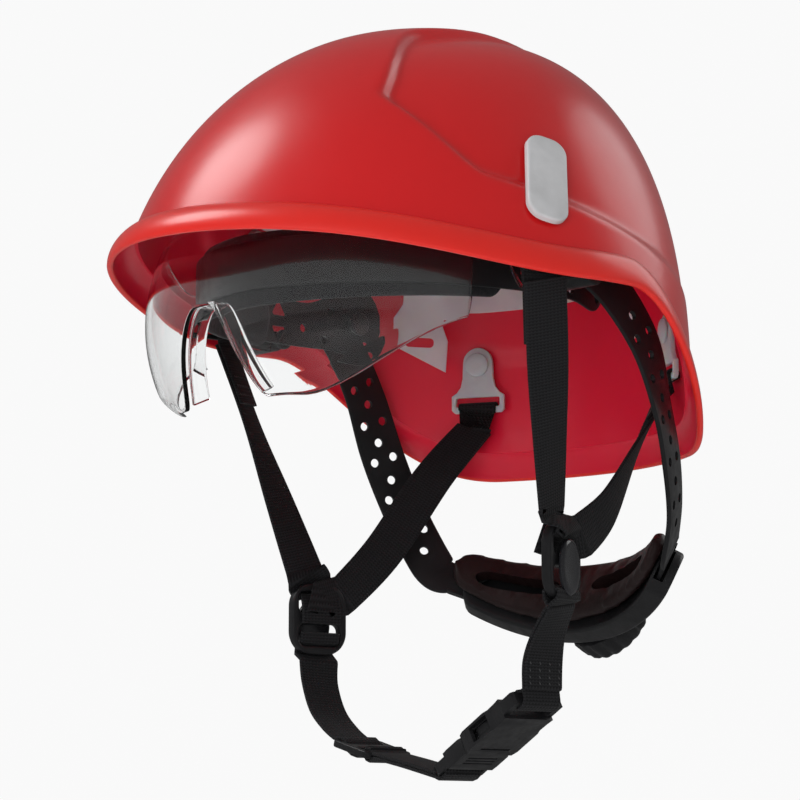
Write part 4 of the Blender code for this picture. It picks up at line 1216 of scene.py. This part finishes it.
def make_nape_strap(side):
    """Perforated strap from the temple peg round to the rack, which it narrows into."""
    path = [(84.5, 26, 28), (87, 42, 16), (90, 58, -6), (89.5, 68, -32), (86.5, 76, -53), (81, 83, -72)]
    faces = [(1, 0, 0), (1, 0.1, 0), (1, 0.2, 0), (0.9, 0.43, 0), (0.87, 0.47, -0.1), (0.8, 0.55, -0.22)]
    path = [Vector((x * side, y, z)) * MM for x, y, z in path]
    faces = [Vector((x * side, y, z)) for x, y, z in faces]
    for degrees in (46, 41, 36):
        angle = math.radians(degrees) * side
        path.append(nape_point(angle, RACK_RADIUS, 0))
        faces.append(nape_point(angle, 2, 0) - nape_point(angle, 1, 0))
    along, facing = rounded(path), rounded(faces)
    count = 150
    samples = []
    for s in range(count + 1):
        u = s / count
        start = math.sqrt(max(1 - (1 - min(s / 7, 1)) ** 2, 0.06))
        neck = 1 - 0.3 * smoothstep(0.7, 0.9, u)
        samples.append((along(u), facing(u).cross(heading(along, u)).normalized(), start * neck))
    section = round_outline(WEB_WIDTH / 2, NAPE_STRAP_THICK / 2, 0.7 * MM, 3)
    strap = mesh_piece(side_name("nape_band", side), ribbon(samples, section), BLACK)
    tools = [peg_cutter(side)]
    travelled, hole = 0.0, 0
    for s in range(1, count):
        here, across = samples[s][0], samples[s][1]
        step = here - samples[s - 1][0]
        travelled += step.length / MM
        if travelled < FIRST_HOLE + HOLE_SPACING * hole or s > 0.68 * count:
            continue
        place = basis(here, across, step.normalized())
        for x in ((0,), (-4.6, 4.6))[hole % 2]:
            tools.append(prism(circle(2.0 * MM, 18), place @ at(x, 0), 8 * MM))
        hole += 1
    settle(carve(strap, tools))
    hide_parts(side_name("nape_strap", side))
    start = nape_point(NAPE_STRAP_END * side, RACK_RADIUS, 0)
    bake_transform(strap)


def make_temple_peg(side):
    start, stop = PEG_SPAN
    profile = [(0, start - PEG_HEAD), (PEG_HEAD_RADIUS, start - PEG_HEAD), (PEG_HEAD_RADIUS, start),
               (PEG_RADIUS, start), (PEG_RADIUS, stop), (PEG_HEAD_RADIUS, stop),
               (PEG_HEAD_RADIUS, stop + PEG_HEAD), (0, stop + PEG_HEAD)]
    peg = mesh_piece(side_name("temple_rivet", side), turned(profile, peg_frame(side)), BLACK)
    settle(soften(peg, 0.6 * MM))
    own(peg, "root", "black_plastic", side_name("temple_peg", side))


# ------------------------------------------------- anchors, dividers, straps

def front_frame(side):
    place = Vector((side * FRONT_TOP.x, FRONT_TOP.y, FRONT_TOP.z))
    return basis(place, Vector((0, 1, 0)), UP)


def make_front_anchor(side):
    slot = shifted(round_outline(10.5 * MM, 1.9 * MM, MM), 0, -MM)
    anchor = plate(side_name("front_hook", side), round_outline(12.5 * MM, 5 * MM, 2.5 * MM),
                   front_frame(side), PLATE_THICK, BLACK, [slot], 0.5 * MM)
    own(anchor, "root", "black_plastic", side_name("front_anchor", side))


def rear_frame(side):
    normal = Vector((REAR_NORMAL.x * side, REAR_NORMAL.y, REAR_NORMAL.z)).normalized()
    along = UP.cross(-normal)
    return basis(Vector((REAR_ANCHOR.x * side, REAR_ANCHOR.y, REAR_ANCHOR.z)), along, UP)


def make_rear_anchor(side):
    """Milky keyhole plate with a slotted foot for the webbing."""
    place = rear_frame(side)
    dome = [(7 * math.cos(math.radians(a)), 7 + 7 * math.sin(math.radians(a))) for a in range(0, 181, 9)]
    foot = [(-7.3, 0), (-8.2, -4), (-10, -6.4), (-12.5, -8), (-12.5, -14.5), (-11, -16), (11, -16),
            (12.5, -14.5), (12.5, -8), (10, -6.4), (8.2, -4), (7.3, 0)]
    slot = shifted(round_outline(10.4 * MM, 2.2 * MM, 1 * MM), 0, -11 * MM)
    hole = shifted(circle(3.8 * MM, 32), 0, 6 * MM)
    anchor = plate(side_name("rear_hook", side), in_mm(dome + foot), place, PLATE_THICK, MILKY,
                   [slot, hole], 0.45 * MM)
    own(anchor, "root", "milky_plastic", side_name("rear_anchor", side))
    profile = in_mm([(0, -2.4), (3.4, -2.4), (3.4, 1.6), (5.5, 1.6), (5.5, 2.6), (4.6, 3.2), (2, 3.4),
                     (0, 3.4)])
    peg = mesh_piece(side_name("rear_stud", side), turned(profile, place @ at(0, 6)), MILKY)
    settle(soften(peg, 0.3 * MM, 2))
    own(peg, "root", "milky_plastic", side_name("rear_peg", side))


def divider_frame(side):
    place = basis(DIVIDER[side], Vector(DIVIDER_YAW[side]), UP)
    return place @ Matrix.Rotation(math.pi, 4, "Y") if side < 0 else place


def make_divider(side):
    """Oval ring with two web slots, and the glossy locking cam on its face."""
    place = divider_frame(side)
    slots = []
    for low, high in ((2.2, 11.8), (-11.8, -2.2)):
        middle, half = (low + high) / 2 * MM, (high - low) / 2 * MM
        slots.append(shifted(round_outline(10.6 * MM, half, 3 * MM), 0, middle))
    ring = plate(side_name("divider_ring", side), round_outline(*DIVIDER_HALF, 10 * MM, 16), place,
                 DIVIDER_THICK, BLACK, slots, 1.1 * MM)
    own(ring, "root", "black_plastic", side_name("divider", side))
    height = DIVIDER_THICK / 2 + CAM_LIFT
    rings = []
    for z, scale in ((-0.5, 0.9), (-0.38, 0.975), (-0.1, 1.0), (0.12, 0.985), (0.3, 0.93), (0.4, 0.84),
                     (0.34, 0.7), (0.26, 0.45), (0.24, 0.12)):
        ring_points = []
        for k in range(64):
            a = math.tau * k / 64
            x = CAM_HALF[0] * scale * math.cos(a)
            y = CAM_HALF[1] * scale * math.sin(a) - 2.5 * MM
            ring_points.append(place @ Vector((x, y, height + CAM_THICK * z)))
        rings.append(ring_points)
    cam = mesh_piece(side_name("cam_flap", side), loops(rings), GLOSS_BLACK, 0.8)
    name = side_name("divider_cam", side)
    own(cam, name, "black_plastic", name)


def make_webbing(name, samples, width, *nodes):
    """A webbing strap, on the root body if it stands for CAD nodes."""
    strap = mesh_piece(name, ribbon(samples, flat_section(width, WEB_THICK)), WEBBING, 0.7)
    return own(strap, "root", "webbing", *nodes) if nodes else strap


def folded(samples, offset):
    """The same samples moved off the strap's face by offset."""
    moved = []
    for s in range(len(samples)):
        here, side, normal = frame_at(samples, s)
        moved.append((here + normal * offset, side))
    return moved


def make_side_straps(side):
    low = DIVIDER[side]
    slant = Vector(DIVIDER_YAW[side])
    divider = divider_frame(side)
    top = Vector((FRONT_TOP.x * side, FRONT_TOP.y, FRONT_TOP.z - 7.4 * MM))
    foot = low + Vector((0.8 * side, -5.5, 18.2)) * MM
    turned_in = Vector(FRONT_TURN[side])
    across = [turned_in, turned_in, (turned_in + slant) / 2, slant]
    main = route([top.lerp(foot, k / 3) for k in range(4)], across, 60)
    hem = folded(main[:17], -side * (WEB_THICK + 0.15 * MM))
    wrap = placed(front_frame(side), turned_in, [(0, y, z * side) for y, z in
                                                 ((0.6, -2.6), (1.6, -4.2), (-0.5, -3.2))])
    tuck = [divider @ (Vector((0, y, z)) * MM) for y, z in
            ((13.5, 3.4), (10.6, 1.6), (9.6, -1.4), (5, -3.2), (-2, -3.4))]
    turn_in = rounded([main[-3][0], main[-1][0]] + tuck)
    samples = main[:-2] + [(turn_in(k / 24), slant) for k in range(1, 25)]
    make_webbing(side_name("front_webbing", side), samples, WEB_WIDTH, side_name("front_strap", side))
    own(make_webbing(side_name("front_hem", side), hem[::-1] + wrap, WEB_WIDTH), "root", "webbing")
    stitches(side_name("front_stitching", side), hem, range(-3, 4), -side, (0.55, 0.97))

    rear = [Vector((60.0 * side, 100.3, -19.5)) * MM, Vector((65 * side, 78, -45)) * MM,
            Vector((71.5 * side, 54, low.z / MM * 0.5 - 24)) * MM,
            low + Vector((-1.6 * side, 13, 11)) * MM]
    across = [(-0.866 * side, 0.5, 0), (-0.7 * side, 0.6, -0.3), (-0.35 * side, 0.7, -0.6), (0, 0.62, -0.78)]
    main = route(rear, across, 56)
    head = bar_wrap(rear_frame(side), -16, -13.2, 1.2)[2:-2]
    tail = placed(divider, Vector((0, 0.62, -0.78)), [(0, 8, -4.0)])
    tail += placed(divider, Vector((0, 0.8, -0.6)), [(0, 3, -4.4)])
    samples = head[::-1] + main[2:] + tail
    make_webbing(side_name("rear_webbing", side), samples, REAR_WEB_WIDTH, side_name("rear_strap", side))
    hem = folded(main[1:15], -WEB_THICK - 0.1 * MM)
    own(make_webbing(side_name("rear_hem", side), hem, REAR_WEB_WIDTH - MM), "root", "webbing")
    stitches(side_name("rear_stitching", side), hem, range(-2, 3), -1, (0.45, 0.95))


def towards(points, here):
    """Ribbon samples, turned round if their last is nearer to here than their first."""
    first, last = points[0][0], points[-1][0]
    return points[::-1] if (here - first).length > (here - last).length else points


def make_lower_straps():
    """Doubled webbing from left divider to buckle, single from right divider to ladder slide."""
    divider, yaw = divider_frame(1), Vector(DIVIDER_YAW[1])
    path = [Vector(p) * MM for p in ((78.2, 20, -114.8), (71.5, 20, -125), (67.8, 20, -136),
                                     (67.3, 20, -147.0))]
    widths = [yaw, (-0.2, 0.98, 0), FLAT, FLAT]
    out = route(path, widths, 40, LAYER_GAP)
    back = route(path, widths, 40, -LAYER_GAP)[::-1]
    end = placed(buckle_frame(), FLAT, [(-3.6, 0, 2.2), (-1.5, 0, 3.3), (1.2, 0, 3.2), (2.8, 0, 0),
                                        (1.2, 0, -3.2), (-1.5, 0, -3.3), (-3.6, 0, -2.2)])
    top = placed(divider, yaw, [(0, -15, -3.2), (0, -12.5, -3.3), (0, -10.4, 0), (0, -12.5, 3.3),
                                (0, -15, 3.2)])
    top = towards(top[::-1], out[0][0])[::-1]
    samples = top[len(top) // 2:] + out + towards(end, out[-1][0]) + back + top[:len(top) // 2 + 1]
    make_webbing("lower_webbing_left", samples, WEB_WIDTH, "lower_strap_left")
    stitches("lower_stitching_left", out, (-3, -1, 1, 3), 1, (0.66, 0.92))

    divider, yaw = divider_frame(-1), Vector(DIVIDER_YAW[-1])
    path = [Vector(p) * MM for p in ((-76, 21, -128.6), (-74.5, 20.5, -139), (-68.5, 20, -151),
                                     (-60, 20, -159), (-51.5, 20, -164.2))]
    main = route(path, [yaw, FLAT, FLAT, FLAT, FLAT], 46)
    head = placed(divider, yaw, [(0, -6, -2.6), (0, -10, -1.6), (0, -12.6, 2.6), (0, -15.2, 3.0)])
    tail = placed(ladder_frame(), FLAT, [(-10, 0, 2.4), (-7, 0, 1.4), (-4.6, 0, -1.6), (-1.5, 0, -2.6),
                                         (2, 0, -2.6), (4.6, 0, -1.2), (7, 0, 1.6), (10.5, 0, 2.4)])
    make_webbing("lower_webbing_right", head + main[1:-2] + tail, WEB_WIDTH, "lower_strap_right")


def make_chin_strap():
    """Adjustable strap from the ladder lock round the buckle's bar."""
    buckle, ladder = buckle_frame(), ladder_frame()
    run = [LADDER + LADDER_AXIS * 12.6 * MM, Vector((-8, 20, -175.5)) * MM,
           buckle @ Vector((57.3 * MM, 0, 0))]
    out = route(run, [FLAT] * 3, 44, LAYER_GAP)
    back = route(run, [FLAT] * 3, 44, -LAYER_GAP)[::-1]
    end = placed(buckle, FLAT, [(56.4, 0, 2.4), (54, 0, 3.0), (52, 0, 2.9), (50.2, 0, 0), (52, 0, -2.9),
                                (54, 0, -3.0), (56.4, 0, -2.4)])
    face = 1 if (ladder.inverted() @ out[0][0]).z > 0 else -1
    head = placed(ladder, FLAT, [(x, 0, z * face) for x, z in ((10.6, -2.6), (8.6, -2.4), (5.4, 0.2),
                                                               (7.4, 2.6), (10.6, 1.6))])
    samples = head[-2:] + out + towards(end, out[-1][0]) + back + head[:3]
    strap = make_webbing("chin_webbing", samples, WEB_WIDTH)
    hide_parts("chin_strap_right")
    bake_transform(strap)


# ----------------------------------------------------------------- fittings

def ladder_frame():
    return basis(LADDER, LADDER_AXIS, FLAT)


def make_ladder_lock():
    holes = [shifted(round_outline(2.6 * MM, 10.5 * MM, MM), 5.2 * MM * way) for way in (-1, 1)]
    lock = plate("ladder_slide", round_outline(12 * MM, 13 * MM, 3 * MM), ladder_frame(), 3.2 * MM, BLACK,
                 holes, 0.8 * MM)
    own(lock, "root", "black_plastic", "ladder_lock")


def buckle_frame():
    return basis(BUCKLE_TOP, BUCKLE_AXIS, FLAT)


def block(place, x0, x1, half_y, half_z, corner=1.0, y=0.0, z=0.0):
    outline = round_outline((x1 - x0) / 2 * MM, half_y * MM, corner * MM, 5)
    return prism(outline, place @ at((x0 + x1) / 2, y, z), 2 * half_z * MM)


def make_buckle():
    """Side-release buckle: hollow female half, male half, and its two sprung arms."""
    place = buckle_frame()
    outline = mirrored([(-2, 12), (-1, 13.2), (6, 13.2), (10, 12.6), (14.5, 12.4), (17, 13.3), (31, 13.3),
                        (34, 12.2)])
    female = mesh_piece("buckle_socket", prism(outline, place, 8.8 * MM), BLACK)
    tools = [block(place, 10, 40, 11.3, 2.7, 0.5), block(place, 1.6, 6.4, 10.4, 8, 1.4)]
    for side in (-1, 1):
        tools.append(block(place, 16, 27, 3, 3.3, 1.2, 13.5 * side))
        tools.append(block(place, -6, 6.4, 16, 2.0, 0.5, 0, 4.8 * side))
        tools.append(block(place, 29.2, 30.4, 8, 1, 0.4, 0, 5.0 * side))
    settle(carve(female, tools))
    soften(female, 0.55 * MM, 3, 30)
    settle(female)
    own(female, "root", "black_plastic", "buckle_female")

    outline = mirrored([(34.7, 11.6), (36, 12.3), (44, 12.3), (46, 12.0), (53, 12.0), (55, 10.6)])
    male = mesh_piece("buckle_plug", prism(outline, place, 7.4 * MM), BLACK)
    settle(carve(male, [block(place, 14, 36, 1.8, 1.8, 0.5)], "UNION"))
    tools = [block(place, 46.8, 51.6, 10.2, 8, 1.4)]
    for side in (-1, 1):
        tools.append(block(place, 46.8, 60, 16, 2.0, 0.5, 0, 4.2 * side))
        for x in (37.5, 39.5, 41.5):
            tools.append(block(place, x, x + 0.9, 8, 0.5, 0.3, 0, 3.9 * side))
    settle(carve(male, tools))
    settle(soften(male, 0.5 * MM, 3, 30))
    own(male, "buckle_male", "black_plastic", "buckle_male")

    for side in (-1, 1):
        outline = in_mm([(x, y * side) for x, y in (
            (34.0, 6.6), (34.0, 9.4), (30, 9.3), (27.0, 9.6), (25.9, 10.6), (25.2, 11.0), (20.5, 11.0),
            (17.6, 9.8), (15.6, 8.0), (15.2, 6.6), (17, 6.1), (20, 6.4), (27, 7.2))])
        name = "prong_rear" if side > 0 else "prong_front"
        prong = mesh_piece(name.replace("prong", "catch_arm"), prism(outline, place, 4.4 * MM), BLACK)
        settle(soften(prong, 0.35 * MM, 2, 25))
        own(prong, name, "black_plastic", name)


def dress_frame_nodes():
    """Rounded edges and moulded plastic for the frame's own toothed parts."""
    for name in ("pinion", "rack_left", "rack_right"):
        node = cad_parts[name]
        weld = node.modifiers.new("weld", "WELD")
        weld.merge_threshold = 0.00001
        soften(node, 0.25 * MM, 2, 30)
        node.data.materials.clear()
        node.data.materials.append(BLACK)


# ------------------------------------------------------------- studio

def area_light(name, place, target, size, power, shows=True):
    data = bpy.data.lights.new(name, "AREA")
    data.shape = "DISK"
    data.size = size
    data.energy = power
    lamp = bpy.data.objects.new(name, data)
    lamp.location = place
    lamp.visible_glossy = shows
    lamp.visible_transmission = shows
    lamp.rotation_euler = (Vector(target) - Vector(place)).to_track_quat("-Z", "Y").to_euler()
    bpy.context.scene.collection.objects.link(lamp)


def backdrop_material():
    """Even white glow, seen by the camera and through clear parts only."""
    mat = bpy.data.materials.new("studio_backdrop")
    mat.use_nodes = True
    shader = mat.node_tree.nodes["Principled BSDF"]
    shader.inputs["Base Color"].default_value = (0, 0, 0, 1)
    shader.inputs["Emission Color"].default_value = (1, 1, 1, 1)
    shader.inputs["Emission Strength"].default_value = BACKDROP_GLOW
    return mat


def make_studio():
    floor_mat = Finish("studio_floor", (0.86, 0.86, 0.86), 0.7)
    floor_mat.shader.inputs["Emission Color"].default_value = (1, 1, 1, 1)
    floor_mat.shader.inputs["Emission Strength"].default_value = FLOOR_GLOW
    bpy.ops.mesh.primitive_grid_add(x_subdivisions=4, y_subdivisions=4, size=FLOOR_SIZE,
                                    location=(0, 0, FLOOR_HEIGHT))
    floor = bpy.context.object
    floor.name = "studio_floor"
    floor.data.materials.append(floor_mat.mat)
    floor.visible_glossy = False
    ball = bmesh.new()
    bmesh.ops.create_icosphere(ball, subdivisions=4, radius=BACKDROP_RADIUS)
    backdrop = mesh_piece("studio_backdrop", ball, backdrop_material(), outward=False)
    for ray in ("visible_diffuse", "visible_glossy", "visible_shadow", "visible_volume_scatter"):
        setattr(backdrop, ray, False)
    world = bpy.data.worlds.new("studio")
    world.use_nodes = True
    sky = world.node_tree.nodes["Background"]
    sky.inputs["Color"].default_value = (1, 1, 1, 1)
    sky.inputs["Strength"].default_value = WORLD_GLOW
    scene = bpy.context.scene
    scene.world = world
    scene.view_settings.view_transform = "Standard"
    area_light("key", (-1.1, -1.3, 2.2), (0, 0, 0.03), 1.5, 38)
    area_light("fill", (1.5, -1.6, 0.5), (0, 0, 0), 1.6, 10, False)
    area_light("rim", (0.5, 2.0, 1.3), (0, 0, 0.04), 1.6, 11)
    area_light("under", (0.8, -1.3, -0.3), (0, 0.05, 0), 0.9, 9, False)


def make_camera():
    """Camera low at the wearer's front left, looking slightly up.

    CAMERA_REACH is the focal length as a share of the sensor's width.
    """
    back = Vector((math.sin(CAMERA_AZIMUTH) * math.cos(CAMERA_ELEVATION),
                   -math.cos(CAMERA_AZIMUTH) * math.cos(CAMERA_ELEVATION), math.sin(CAMERA_ELEVATION)))
    data = bpy.data.cameras.new("camera")
    data.sensor_width = 36
    data.lens = CAMERA_REACH * data.sensor_width
    data.shift_x, data.shift_y = CAMERA_SHIFT
    camera = bpy.data.objects.new("camera", data)
    camera.location = back * CAMERA_DISTANCE
    camera.rotation_euler = (-back).to_track_quat("-Z", "Y").to_euler()
    bpy.context.scene.collection.objects.link(camera)
    bpy.context.scene.camera = camera


make_camera()
make_studio()
make_shell()
make_cradle()
make_headband()
make_sweatband()
make_visor()
make_nose_bridge()
make_nape_housing()
make_nape_pad()
make_knob()
for side in (-1, 1):
    make_slot_cover(side)
    make_visor_pivot(side)
    make_nape_strap(side)
    make_temple_peg(side)
    make_front_anchor(side)
    make_rear_anchor(side)
    make_divider(side)
    make_side_straps(side)
make_lower_straps()
make_chin_strap()
make_ladder_lock()
make_buckle()
dress_frame_nodes()
